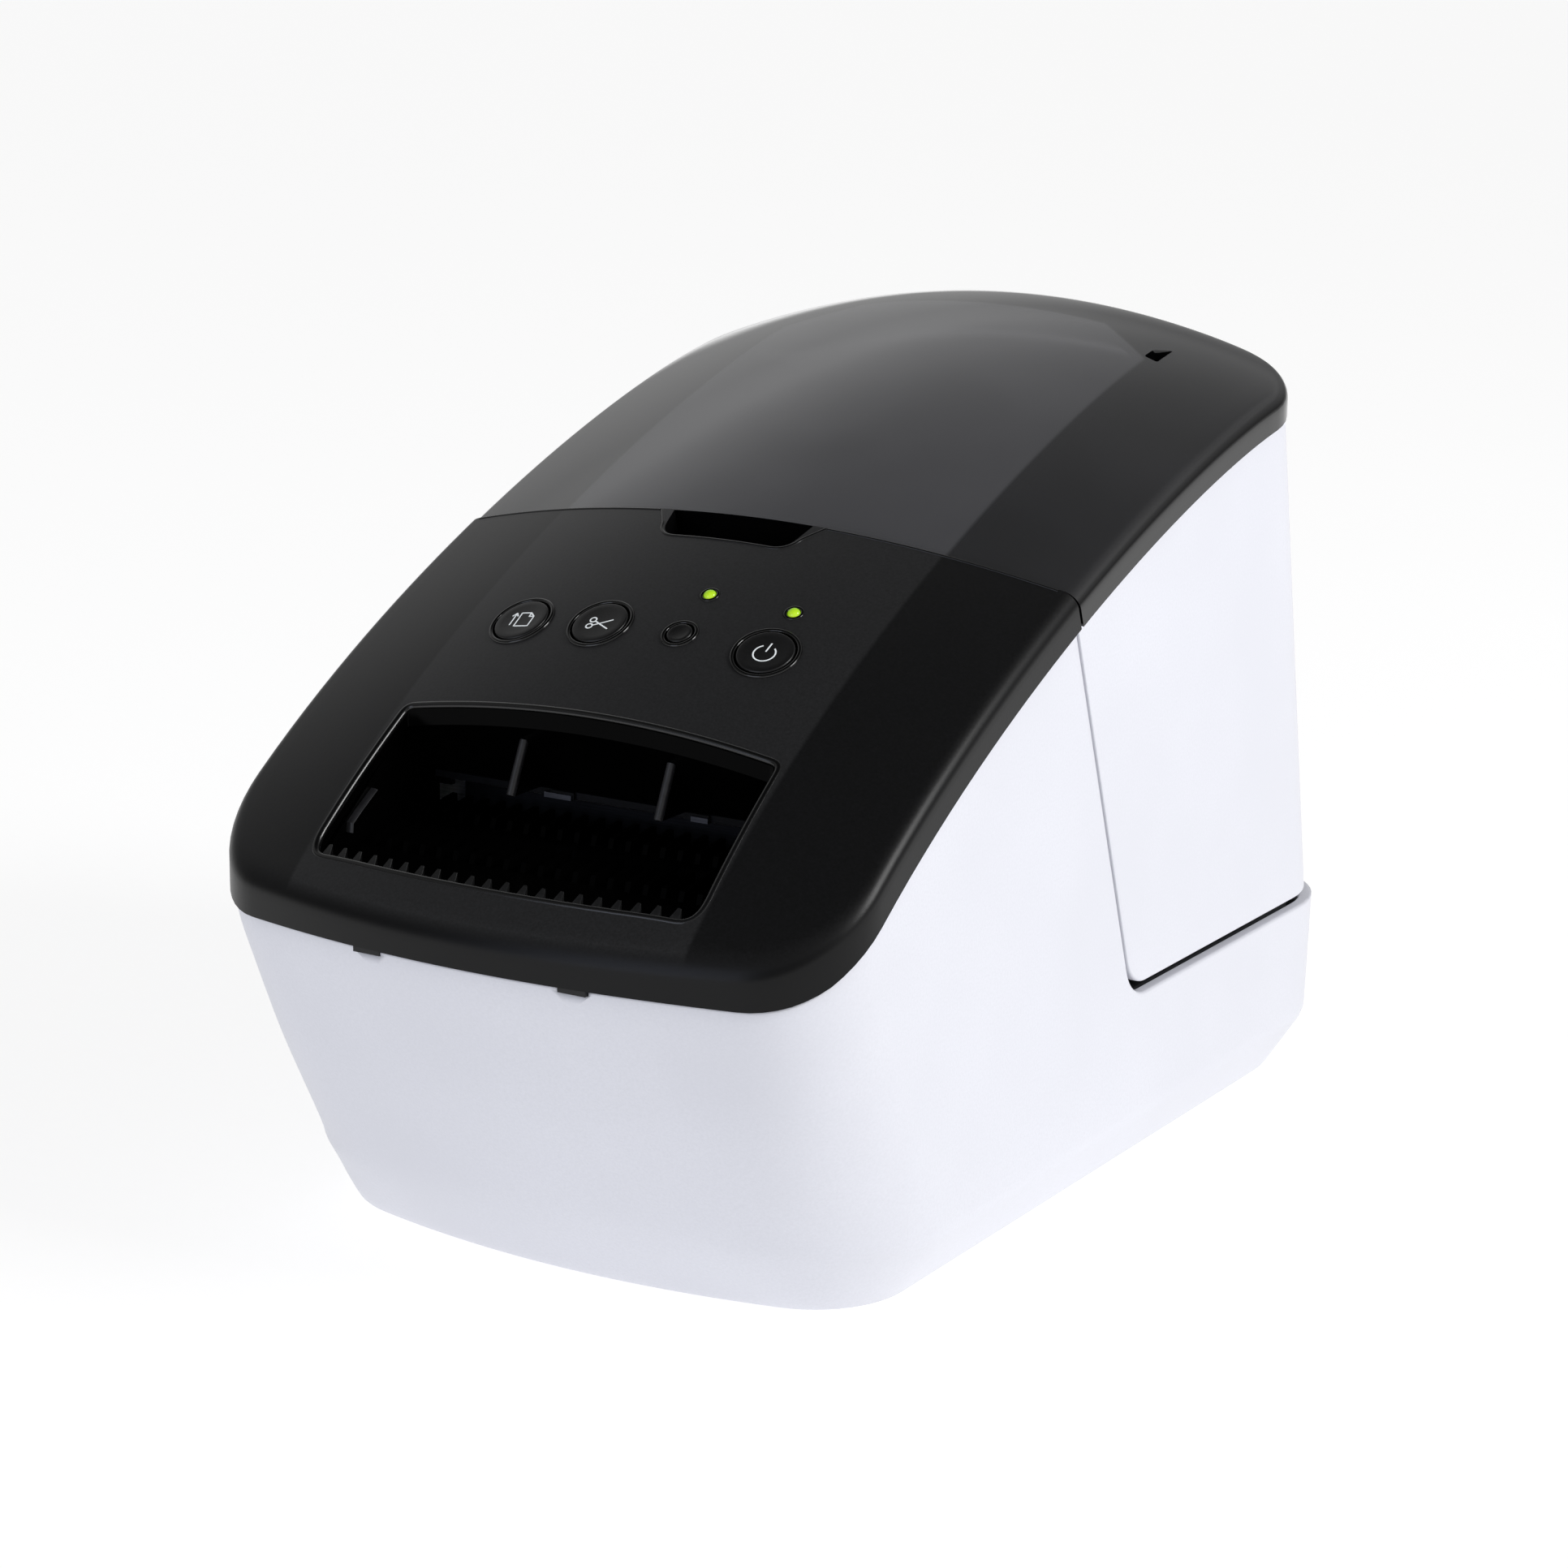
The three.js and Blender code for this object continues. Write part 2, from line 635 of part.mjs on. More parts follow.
// The print works, between two side frames on a deck
const platen = { y: -46, z: 71, radius: 6, half: 33, shaft: 3, bush: 5 };
const platenAt = [platen.y, platen.z];
const frame = { inner: 36, front: -58.9, rear: -22, low: 22, top: 95 };
const frameOuter = frame.inner + wall.steel;
const deck = { half: 43, front: -68, rear: -20, top: 21.7, thickness: 2.5 };
const motor = { y: -38, z: 41, radius: 14, length: 22, shaft: 1.5, boss: 5, bossHeight: 1.5 };
const motorAt = [motor.y, motor.z];
const gearing = { module: 1, thickness: 4, x: 39.4, pinionTeeth: 12, idlerTeeth: 22, platenTeeth: 20, studRadius: 2 };
const toothShares = { tip: 0.22, pitch: 0.42, root: 0.6, addendum: 0.85, dedendum: 1.2 };
const head = {
  pivotY: -30, pivotZ: 87, pivotRadius: 2, plate: 2.2, sinkHeight: 4.5, front: -57, rear: -39, ear: 4.4,
};
const sinkShares = [0.25, 0.5, 0.75];
const pivotAt = [head.pivotY, head.pivotZ];
const paperZ = platen.z + platen.radius;
const headLow = paperZ + fit.seat;
const sinkLow = headLow + head.plate + fit.seat;
const bracketLow = sinkLow + head.sinkHeight + fit.seat;
const bracketTop = bracketLow + wall.steel;
const crossbar = { front: -53, rear: -36, low: 93 };
const spring = { radius: 2.6, wire: 0.7, turns: 4, x: 22, y: -45 };

const pitchRadius = (teeth, module = gearing.module) => (teeth * module) / 2;

// Where a wheel meshes with two others whose centres are known
function meshCentre(a, b, reachA, reachB) {
  const distance = Math.hypot(b[0] - a[0], b[1] - a[1]);
  const along = (reachA ** 2 - reachB ** 2 + distance ** 2) / (2 * distance);
  const off = Math.sqrt(reachA ** 2 - along ** 2);
  const u = [(b[0] - a[0]) / distance, (b[1] - a[1]) / distance];
  return [a[0] + u[0] * along + u[1] * off, a[1] + u[1] * along - u[0] * off];
}

const idlerAt = meshCentre(motorAt, platenAt,
  pitchRadius(gearing.pinionTeeth + gearing.idlerTeeth),
  pitchRadius(gearing.idlerTeeth + gearing.platenTeeth));

// The outline of a gear, with one tooth at the given angle
function gearOutline(centre, teeth, module, phase) {
  const radius = pitchRadius(teeth, module);
  const pitch = (2 * Math.PI) / teeth;
  const root = radius - module * toothShares.dedendum;
  const tip = radius + module * toothShares.addendum;
  const points = [];
  for (let i = 0; i < teeth; i += 1) {
    const middle = phase + i * pitch;
    const flank = [
      [root, -toothShares.root], [radius, -toothShares.pitch], [tip, -toothShares.tip],
      [tip, toothShares.tip], [radius, toothShares.pitch], [root, toothShares.root],
    ];
    for (const [r, share] of flank) {
      const angle = middle + (share * pitch) / 2;
      points.push([centre[0] + r * Math.cos(angle), centre[1] + r * Math.sin(angle)]);
    }
  }
  return points;
}

// The phase that puts a gap of one wheel over a tooth of the other
function meshPhase(from, to, fromTeeth, toTeeth, fromPhase) {
  const direction = Math.atan2(to[1] - from[1], to[0] - from[0]);
  return direction + Math.PI + Math.PI / toTeeth - ((fromPhase - direction) * fromTeeth) / toTeeth;
}

const pinionPhase = 0;
const idlerPhase = meshPhase(motorAt, idlerAt, gearing.pinionTeeth, gearing.idlerTeeth, pinionPhase);
const platenPhase = meshPhase(idlerAt, platenAt, gearing.idlerTeeth, gearing.platenTeeth, idlerPhase);

function wheel(centre, teeth, phase, bore) {
  const shape = gearOutline(centre, teeth, gearing.module, phase);
  return prism('x', shape, gearing.x, gearing.x + gearing.thickness, [circle(centre, bore)]);
}

function sideFrame(side) {
  const edge = [
    [frame.front, frame.low],
    [frame.rear, frame.low],
    [frame.rear, head.pivotZ - head.ear],
    [frame.rear - head.ear, frame.top],
    [crossbar.front, frame.top],
    [frame.front, frame.top - head.ear],
  ];
  const holes = [
    circle(platenAt, platen.bush - wall.steel + fit.seat, steps.round),
    circle(pivotAt, head.pivotRadius + fit.seat),
    circle(motorAt, motor.boss + fit.seat, steps.round),
  ];
  const plate = prism('x', edge, ...span(side, frame.inner, frameOuter), holes);
  const foot = block(span(side, frameOuter - wall.steel, frameOuter + head.ear),
    [frame.front + head.ear, frame.rear - head.ear], [frame.low, frame.low + wall.steel]);
  const stud = rod('x', gearing.studRadius, frame.inner + wall.steel / 2,
    gearing.x + gearing.thickness + fit.running, idlerAt, steps.small);
  return side > 0 ? union([plate, foot, stud]) : plate.add(foot);
}

function mechDeck() {
  const top = deck.top;
  const plate = block([-deck.half, deck.half], [deck.front, deck.rear], [top - deck.thickness, top]);
  const legs = [];
  const pilots = [];
  for (const side of [-1, 1]) {
    for (const y of [leg.deckFront, leg.deckRear]) {
      legs.push(legBlock(side * leg.deckX, y, top - deck.thickness / 2));
    }
    pilots.push(pilot([side * leg.deckX, leg.deckFront]));
  }
  return without(union([plate, ...legs]), pilots);
}

function feedMotor() {
  const face = frame.inner - fit.seat;
  const can = rod('x', motor.radius, face - motor.length, face, motorAt);
  const boss = rod('x', motor.boss, face - wall.steel, face + motor.bossHeight, motorAt);
  return can.add(boss).subtract(rod('x', motor.shaft + fit.seat, 0, machine.depth, motorAt, steps.small));
}

function motorPinion() {
  const gear = prism('x', gearOutline(motorAt, gearing.pinionTeeth, gearing.module, pinionPhase),
    gearing.x, gearing.x + gearing.thickness);
  return gear.add(rod('x', motor.shaft, motor.length / 2, gearing.x + wall.steel, motorAt, steps.small));
}

function platenGear() {
  return wheel(platenAt, gearing.platenTeeth, platenPhase, platen.shaft + fit.seat);
}

function idlerGear() {
  return wheel(idlerAt, gearing.idlerTeeth, idlerPhase, gearing.studRadius + fit.seat);
}

function platenShaft() {
  const left = frameOuter + wall.steel + fit.running;
  return rod('x', platen.shaft, -left, gearing.x + gearing.thickness + fit.running, platenAt);
}

function platenBush(side) {
  const flange = tube('x', platen.bush, platen.shaft + fit.seat,
    ...span(side, frame.inner - wall.steel - fit.seat, frame.inner - fit.seat), platenAt);
  const sleeve = tube('x', platen.bush - wall.steel, platen.shaft + fit.seat,
    ...span(side, frame.inner - wall.steel, frameOuter + fit.seat), platenAt);
  return flange.add(sleeve);
}

function printHead() {
  const body = block([-platen.half, platen.half], [head.front, head.rear], [headLow, headLow + head.plate]);
  const driver = block([-platen.half, platen.half], [head.front, platen.y - platen.radius],
    [headLow - fit.seat, headLow + head.plate / 2]);
  return body.add(driver);
}

function headHeatsink() {
  const half = platen.half - wall.steel;
  const body = block([-half, half], [head.front, head.rear], [sinkLow, sinkLow + head.sinkHeight]);
  const depth = head.rear - head.front;
  return without(body, sinkShares.map((share) => block([-machine.depth, machine.depth],
    [head.front + depth * share - wall.steel, head.front + depth * share + wall.steel],
    [sinkLow + head.plate, machine.height])));
}

function headBracket() {
  const plate = block([-platen.half, platen.half], [head.front, head.rear + head.ear], [bracketLow, bracketTop]);
  const ears = mirrored((side) => {
    const x = span(side, platen.half - wall.steel, platen.half);
    const arm = prism('x', [
      [head.rear, bracketLow],
      [head.pivotY, head.pivotZ - head.ear],
      [head.pivotY, head.pivotZ + head.ear],
      [head.rear, bracketTop + wall.steel],
    ], ...x);
    return arm.add(rod('x', head.ear, ...x, pivotAt));
  });
  return plate.add(ears).subtract(rod('x', head.pivotRadius + fit.seat, -machine.depth, machine.depth, pivotAt));
}

function crossBar() {
  const end = frame.inner - fit.seat;
  const plate = block([-end, end], [crossbar.front, crossbar.rear], [crossbar.low, crossbar.low + wall.steel]);
  const tabs = mirrored((side) => block(span(side, end - wall.steel, end), [crossbar.front, crossbar.rear],
    [crossbar.low - head.ear, crossbar.low + wall.steel]));
  return plate.add(tabs);
}

// A coil spring between the bracket and the crossbar
function headSpring(side) {
  const low = bracketTop + fit.seat + spring.wire / 2;
  const high = crossbar.low - fit.seat - spring.wire / 2;
  const count = spring.turns * steps.curl;
  const rings = [];
  for (let i = 0; i <= count; i += 1) {
    const angle = (2 * Math.PI * i) / steps.curl;
    const z = low + ((high - low) * i) / count;
    const out = [Math.cos(angle), Math.sin(angle)];
    rings.push(circle([spring.radius, 0], spring.wire / 2, steps.wire).map(([r, up]) => [
      side * spring.x + out[0] * r, spring.y + out[1] * r, z - up,
    ]));
  }
  return loft(rings);
}

// The cutter in front of the print works
const cutter = {
  y: -59.2, half: 42, low: 62, top: 92, windowHalf: 34, windowLow: 75, windowHigh: 80.4, motorX: -46, motorZ: 83,
  motorRadius: 6.5, motorLength: 21, motorShaft: 1.1, shaftDepth: 2.4, plateLeft: 53.5,
};
const fixedBlade = { half: 35, thickness: 0.8, edge: 76.4, height: 9 };
const movingBlade = { half: 39, left: 37, thickness: 1, edge: 78.4, height: 11.8, slant: 0.8, travel: 5 };
const rack = { module: 0.8, pinionTeeth: 12, low: 75.8, thickness: 3 };
const cutterFront = cutter.y - wall.steel;
const fixedBack = cutterFront - fit.seat;
const movingBack = fixedBack - fixedBlade.thickness - fit.seat;
const cutterAt = [cutter.motorZ, cutter.motorX];
const rackPitchX = cutter.motorX + pitchRadius(rack.pinionTeeth, rack.module);

function cutterFrame() {
  const plate = prism('y', [
    [cutter.low, -cutter.half], [cutter.low, cutter.half], [cutter.top, cutter.half],
    [cutter.top, -cutter.plateLeft], [cutter.motorZ - cutter.motorRadius - wall.base, -cutter.plateLeft],
    [cutter.motorZ - cutter.motorRadius - wall.base, -cutter.half],
  ], cutterFront, cutter.y, [
    [
      [cutter.windowLow, -cutter.windowHalf], [cutter.windowLow, cutter.windowHalf],
      [cutter.windowHigh, cutter.windowHalf], [cutter.windowHigh, -cutter.windowHalf],
    ],
    circle(cutterAt, cutter.motorShaft + fit.seat),
  ]);
  const guideDepth = [movingBack - movingBlade.thickness - wall.steel, cutterFront + wall.steel / 2];
  const guide = (side, top) => block(span(side, movingBlade.half + fit.running, cutter.half), guideDepth,
    [cutter.low, top]);
  const leftTop = rack.low - movingBlade.travel - fit.running;
  return union([plate, guide(1, cutter.top), guide(-1, leftTop)]);
}

function fixedBladePiece() {
  return block([-fixedBlade.half, fixedBlade.half], [fixedBack - fixedBlade.thickness, fixedBack],
    [fixedBlade.edge - fixedBlade.height, fixedBlade.edge]);
}

// The moving blade carries a rack on its left end
function movingBladePiece() {
  const top = movingBlade.edge + movingBlade.height;
  const pitch = Math.PI * rack.module;
  const rootX = rackPitchX + rack.module * toothShares.dedendum;
  const tipX = rackPitchX - rack.module * toothShares.addendum;
  const teeth = [];
  const first = Math.ceil((rack.low - cutter.motorZ) / pitch);
  const last = Math.floor((top - cutter.motorZ) / pitch) - 1;
  for (let i = first; i <= last; i += 1) {
    const z = cutter.motorZ + (i + 1 / 2) * pitch;
    teeth.push([z - (toothShares.root * pitch) / 2, rootX], [z - (toothShares.pitch * pitch) / 2, rackPitchX]);
    teeth.push([z - (toothShares.tip * pitch) / 2, tipX], [z + (toothShares.tip * pitch) / 2, tipX]);
    teeth.push([z + (toothShares.pitch * pitch) / 2, rackPitchX], [z + (toothShares.root * pitch) / 2, rootX]);
  }
  const shape = [
    [top, movingBlade.half],
    [movingBlade.edge + movingBlade.slant, movingBlade.half],
    [movingBlade.edge, 0],
    [movingBlade.edge + movingBlade.slant, -movingBlade.left],
    [rack.low, -movingBlade.left],
    [rack.low, rootX],
    ...teeth,
    [top, rootX],
  ];
  return prism('y', shape, movingBack - movingBlade.thickness, movingBack);
}

function cutterGear() {
  const middle = movingBack - movingBlade.thickness / 2;
  const shape = gearOutline(cutterAt, rack.pinionTeeth, rack.module, Math.PI / 2);
  const gear = prism('y', shape, middle - rack.thickness / 2, middle + rack.thickness / 2 - fit.seat);
  return gear.add(rod('y', cutter.motorShaft, middle, cutter.y + wall.steel, [cutter.motorX, cutter.motorZ],
    steps.small));
}

function cutterMotor() {
  const at = [cutter.motorX, cutter.motorZ];
  const face = cutter.y + fit.seat;
  const can = rod('y', cutter.motorRadius, face, face + cutter.motorLength, at);
  return can.subtract(rod('y', cutter.motorShaft + fit.seat, face - fit.overrun, cutter.y + cutter.shaftDepth,
    at, steps.small));
}

// The label outlet: opening, chute, ribbed floor and comb
const outlet = {
  half: 38.4, topHalf: 37.5, top: -74.7, side: -100, bow: 3.5, corner: 2.5,
  wall: 1.6, rear: -64.4, slotHigh: 79.4, kneeY: -70, kneeZ: 86, frontEnd: -101, lead: 2.2,
};
const fin = { x: 15, width: 1.5, topY: -71.5, topZ: 88.5, tipY: -75.6, tipZ: 79.6 };
const floor = { rearZ: 73.4, frontZ: 69.4, thickness: 1.6, ribs: 21, ribWidth: 1, ribHeight: 1.7, side: 1.5 };
const floorShares = { rows: [[0, 0.24], [0.42, 0.68]], tooth: 0.93 };
const guardShares = [-0.28, 0.44];

const lipY = (x) => outlet.side - outlet.bow * (1 - (x / outlet.half) ** 2);

function outletOutline(grow = 0) {
  const half = outlet.half + grow;
  const front = Array.from({ length: steps.front + 1 }, (_, i) => {
    const x = (outlet.half - outlet.corner) * ((2 * i) / steps.front - 1);
    return [x * (half / outlet.half), lipY(x) - grow];
  });
  return [
    ...front,
    [half, outlet.side + outlet.corner],
    [outlet.topHalf + grow, outlet.top + grow],
    [-outlet.topHalf - grow, outlet.top + grow],
    [-half, outlet.side + outlet.corner],
  ];
}

function outletChute() {
  const outer = outlet.half + outlet.wall;
  const body = block([-outer, outer], [outlet.frontEnd, outlet.rear], [floor.frontZ, machine.height])
    .intersect(under(wall.panel + fit.curved));
  const roof = [
    [outlet.rear + fit.overrun, outlet.slotHigh],
    [outlet.rear - outlet.wall, outlet.slotHigh],
    [outlet.kneeY, outlet.kneeZ],
    [outlet.top, topZ(0, outlet.top, wall.panel)],
    [outlet.top, machine.height],
  ];
  const mouth = prism('x', [
    [-machine.depth, 0],
    [outlet.rear + fit.overrun, 0],
    ...roof,
    [-machine.depth, machine.height],
  ], -outlet.half, outlet.half);
  const behind = prism('x', [
    [outlet.rear + fit.overrun, outlet.slotHigh + outlet.lead],
    [outlet.rear - outlet.wall / 2, outlet.slotHigh + outlet.lead],
    [outlet.kneeY + outlet.lead, outlet.kneeZ + outlet.wall / 2],
    [outlet.top + outlet.lead, topZ(0, outlet.top, wall.panel) - outlet.wall / 2],
    [outlet.top + outlet.lead, machine.height],
    [outlet.rear + fit.overrun, machine.height],
  ], -outlet.half, outlet.half);
  const fins = mirrored((side) => prism('x', [
    [fin.tipY, fin.tipZ],
    [outlet.rear - outlet.wall, outlet.slotHigh + fit.seat],
    [outlet.kneeY + outlet.wall / 2, outlet.kneeZ],
    [fin.topY, fin.topZ],
  ], ...span(side, fin.x - fin.width / 2, fin.x + fin.width / 2)));
  return without(body, [mouth, behind]).add(fins);
}

// Height of the chute's floor
function floorZ(y) {
  const share = (outlet.rear - y) / (outlet.rear - outlet.side);
  return floor.rearZ + (floor.frontZ - floor.rearZ) * share;
}

function outletFloor() {
  const half = outlet.half - fit.seat;
  const rear = outlet.rear - fit.seat;
  const plateShape = [
    ...Array.from({ length: steps.front + 1 }, (_, i) => {
      const x = half * ((2 * i) / steps.front - 1);
      return [x, lipY(x) + fit.seat];
    }),
    [half, rear],
    [-half, rear],
  ];
  const ends = [[rear + fit.overrun, floorZ(rear + fit.overrun)], [-machine.depth / 2, floorZ(-machine.depth / 2)]];
  const sheet = prism('x', [
    ...ends,
    ...ends.toReversed().map(([y, z]) => [y, z - floor.thickness]),
  ], -half, half);
  const pieces = [sheet];
  const length = rear - outlet.side;
  const pitch = (2 * (half - floor.side)) / floor.ribs;
  for (let i = 0; i < floor.ribs; i += 1) {
    const x = pitch * (i - (floor.ribs - 1) / 2);
    const rib = [x - floor.ribWidth / 2, x + floor.ribWidth / 2];
    for (const [near, far] of floorShares.rows) {
      const from = rear - length * far;
      const to = rear - length * near;
      pieces.push(prism('x', [
        [from, floorZ(from) - floor.thickness / 2],
        [to, floorZ(to) - floor.thickness / 2],
        [to, floorZ(to) + floor.ribHeight],
        [from + floor.ribHeight / 2, floorZ(from) + floor.ribHeight],
      ], ...rib));
    }
    const lip = lipY(x) + fit.seat;
    const start = lip + length * (1 - floorShares.tooth);
    pieces.push(prism('x', [
      [lip, floorZ(lip) - floor.thickness / 2],
      [start, floorZ(start) - floor.thickness / 2],
      [start, floorZ(start)],
      [lip + floor.ribWidth / 2, floorZ(lip) + floor.ribHeight],
      [lip, floorZ(lip) + floor.ribHeight],
    ], ...rib));
  }
  return union(pieces).intersect(prism('z', plateShape, 0, machine.height));
}

function cutterGuard() {
  const end = outlet.half - fit.seat;
  const y = outlet.rear - outlet.wall;
  const top = outlet.slotHigh - fit.seat;
  const strip = block([-end, end], [y, outlet.rear - fit.seat], [top - wall.steel, top]);
  const tabs = guardShares.map((share) => block(
    [end * share - wall.base, end * share + wall.base], [y - wall.steel / 2, y + wall.steel / 2],
    [top - wall.steel, top]));
  return union([strip, ...tabs]);
}

// The controls: buttons and lenses square to the crowned panel, over a small board
const button = {
  y: -56, radius: 5.1, smallRadius: 2.3, proud: 0.4, thickness: 3, flange: 1, flangeThickness: 1, stem: 1.8,
  travel: 0.7, ringWidth: 0.75, ringProud: 0.3,
};
const buttonXs = { feed_button: -26.5, cut_button: -10, mode_button: 6.3, power_button: 23.5 };
const lens = { y: -46.6, radius: 1.3, proud: 0.3, length: 3.2 };
const lensXs = { status_lens: 6.3, power_lens: 23.2 };
const panelBoard = { left: -34, right: 31, back: 13.5, front: 6, depth: 9.4, post: 1.8, postInset: 2.6 };
const tactile = { half: 3, smallHalf: 1.8, height: 2 };

// A frame standing square on the top at a place, +Z outwards
function surfaceFrame(x, y) {
  const normal = topNormal(x, y);
  const across = new THREE.Vector3(0, 1, 0).cross(normal).normalize();
  const along = normal.clone().cross(across);
  return new THREE.Matrix4().makeBasis(across, along, normal).setPosition(x, y, topZ(x, y));
}

function onSurface(body, x, y) {
  return solid(geometryOf(body).applyMatrix4(surfaceFrame(x, y)));
}

// The board lies square to the slope at the buttons, level from side to side
const boardFrame = (() => {
  const { slope } = crest(button.y);
  const normal = new THREE.Vector3(0, -slope, 1).normalize();
  const across = new THREE.Vector3(1, 0, 0);
  const along = normal.clone().cross(across);
  const origin = new THREE.Vector3(0, button.y, topZ(0, button.y)).addScaledVector(normal, -panelBoard.depth);
  return { matrix: new THREE.Matrix4().makeBasis(across, along, normal).setPosition(origin), normal, origin };
})();

// Distance from the surface down the button's own axis to the board
function depthToBoard(x, y) {
  const normal = topNormal(x, y);
  const start = new THREE.Vector3(x, y, topZ(x, y));
  return start.sub(boardFrame.origin).dot(boardFrame.normal) / normal.dot(boardFrame.normal);
}

function buttonPiece(x, radius) {
  const low = button.proud - button.thickness;
  const flangeTop = -wall.panel - fit.curved;
  const foot = -depthToBoard(x, button.y) + tactile.height + button.travel + fit.seat;
  const body = union([
    rod('z', radius, low, button.proud, [0, 0]),
    rod('z', radius + button.flange, flangeTop - button.flangeThickness, flangeTop, [0, 0]),
    rod('z', button.stem, foot, low, [0, 0], steps.small),
    rod('z', radius, flangeTop - button.flangeThickness / 2, low + fit.seat, [0, 0]),
  ]);
  return onSurface(body, x, button.y);
}

function controlBoard() {
  const plate = block([panelBoard.left, panelBoard.right], [-panelBoard.front, panelBoard.back],
    [-board.thickness, 0]);
  const parts = [plate];
  const toBoard = boardFrame.matrix.clone().invert();
  const onBoard = (x, y) => {
    const point = new THREE.Vector3(x, y, topZ(x, y)).addScaledVector(topNormal(x, y), -depthToBoard(x, y));
    return point.applyMatrix4(toBoard);
  };
  for (const [name, x] of Object.entries(buttonXs)) {
    const half = name === 'mode_button' ? tactile.smallHalf : tactile.half;
    const point = onBoard(x, button.y);
    parts.push(block([point.x - half, point.x + half], [point.y - half, point.y + half],
      [-board.thickness / 2, tactile.height - fit.seat]));
  }
  for (const x of Object.values(lensXs)) {
    const point = onBoard(x, lens.y);
    parts.push(rod('z', lens.radius, -board.thickness / 2,
      depthToBoard(x, lens.y) - lens.length - fit.seat, [point.x, point.y], steps.small));
  }
  return solid(geometryOf(union(parts)).applyMatrix4(boardFrame.matrix));
}

// The finger notch at the seam
const notch = { half: 17, lowHalf: 13, front: -33, depth: 7, wall: 1.4, corner: 3 };

function notchOutline(grow, back) {
  return [
    [-notch.half - grow, back],
    [-notch.lowHalf - grow, notch.front + notch.corner / 2],
    [-notch.lowHalf + notch.corner - grow, notch.front - grow],
    [notch.lowHalf - notch.corner + grow, notch.front - grow],
    [notch.lowHalf + grow, notch.front + notch.corner / 2],
    [notch.half + grow, back],
  ];
}

function frontPanel() {
  const ahead = aheadOfSeam(-fit.lidGap / 2);
  const skin = capBlock.subtract(capHollow(wall.panel)).intersect(ahead);
  const rearFlange = capBlock.intersect(ahead).subtract(aheadOfSeam(-fit.lidGap / 2 - wall.frame));
  const pocket = prism('z', notchOutline(notch.wall, seam.y), 0, machine.height)
    .intersect(under(wall.panel / 2)).intersect(ahead)
    .subtract(under(notch.depth + notch.wall));
  const postXs = [panelBoard.left + panelBoard.postInset, panelBoard.right - panelBoard.postInset];
  const posts = postXs.map((x) => {
    const post = rod('z', panelBoard.post, fit.seat, panelBoard.depth + fit.overrun,
      [x, panelBoard.back - panelBoard.postInset], steps.small);
    return solid(geometryOf(post).applyMatrix4(boardFrame.matrix)).intersect(under(wall.panel / 2));
  });
  const rings = Object.entries(buttonXs).map(([name, x]) => {
    const radius = (name === 'mode_button' ? button.smallRadius : button.radius) + fit.seat + button.ringWidth;
    return onSurface(rod('z', radius, -wall.panel / 2, button.ringProud, [0, 0]), x, button.y);
  });
  const holes = [
    ...Object.entries(buttonXs).map(([name, x]) => {
      const radius = (name === 'mode_button' ? button.smallRadius : button.radius) + fit.seat;
      return onSurface(rod('z', radius, -fit.overrun, fit.overrun, [0, 0]), x, button.y);
    }),
    ...Object.values(lensXs).map((x) => onSurface(
      rod('z', lens.radius + fit.seat, -fit.overrun, fit.overrun, [0, 0], steps.small), x, lens.y)),
  ];
  const notchCut = prism('z', notchOutline(0, seam.y + fit.overrun), 0, machine.height)
    .subtract(under(notch.depth));
  const mouth = prism('z', outletOutline(), 0, machine.height);
  return without(union([skin, rearFlange, pocket, ...posts, ...rings]), [...holes, notchCut, mouth]);
}

function lensPiece(x) {
  return onSurface(rod('z', lens.radius, -lens.length, lens.proud, [0, 0], steps.small), x, lens.y);
}

// The lid: smoked cover, inner frame with the window, white shell
const windowOpening = { half: 41, front: -17, rear: 60, cornerX: 12, cornerY: 9 };

function lidCover() {
  const ahead = aheadOfSeam(fit.lidGap / 2);
  const whole = capBlock.subtract(ahead);
  const hollow = capHollow(wall.cover).subtract(aheadOfSeam(fit.lidGap / 2 + wall.cover));
  return whole.subtract(hollow);
}

function lidInnerFrame() {
  const start = aheadOfSeam(fit.lidGap / 2 + wall.cover + fit.running);
  const layer = slab((inset) => capOutline(inset + wall.cover + fit.running),
    (x, y) => topZ(x, y, wall.cover + fit.seat + wall.frame), (x, y) => topZ(x, y, wall.cover + fit.seat));
  const { half, front, rear, cornerX, cornerY } = windowOpening;
  const opening = prism('z', [
    [-half, front], [half, front], [half, rear - cornerY], [half - cornerX, rear],
    [cornerX - half, rear], [-half, rear - cornerY],
  ], 0, machine.height * 2);
  return without(layer, [start, opening]);
}

function lidShell() {
  const outer = hull(lidLevels).intersect(under(cap.skirt + fit.seat)).intersect(lidZone(0, 0));
  const skin = outer.subtract(hull([
    { ...lidLevels[0], z: -fit.overrun },
    ...lidLevels,
    { ...lidLevels[1], z: machine.height * 2 },
  ], wall.lid));
  const inside = hull(lidLevels);
  const ears = mirrored((side) => {
    const x = span(side, earSpan[0], earSpan[1]);
    const web = block(x, [hinge.y, hinge.y + hinge.web], [seam.sideZ, hinge.z + hinge.web]);
    return rod('x', hinge.barrel, x[0], x[1], hingeAt).add(web.intersect(inside)).intersect(lidZone(0, 0));
  });
  const notches = mirrored((side) => {
    const x = span(side, hinge.knuckleIn - fit.lidGap, hinge.knuckleOut + fit.seat);
    const reach = hinge.barrel + fit.lidGap;
    return rod('x', reach, ...x, hingeAt).add(block(x, [hinge.y - reach, hinge.y + reach], [0, hinge.z]));
  });
  return without(skin.add(ears), [notches, rod('x', pinHole, -machine.depth, machine.depth, hingeAt)]);
}

function hingePin(side) {
  return rod('x', hinge.pin, ...span(side, hinge.knuckleIn + wall.steel, earSpan[1] - fit.seat), hingeAt);
}

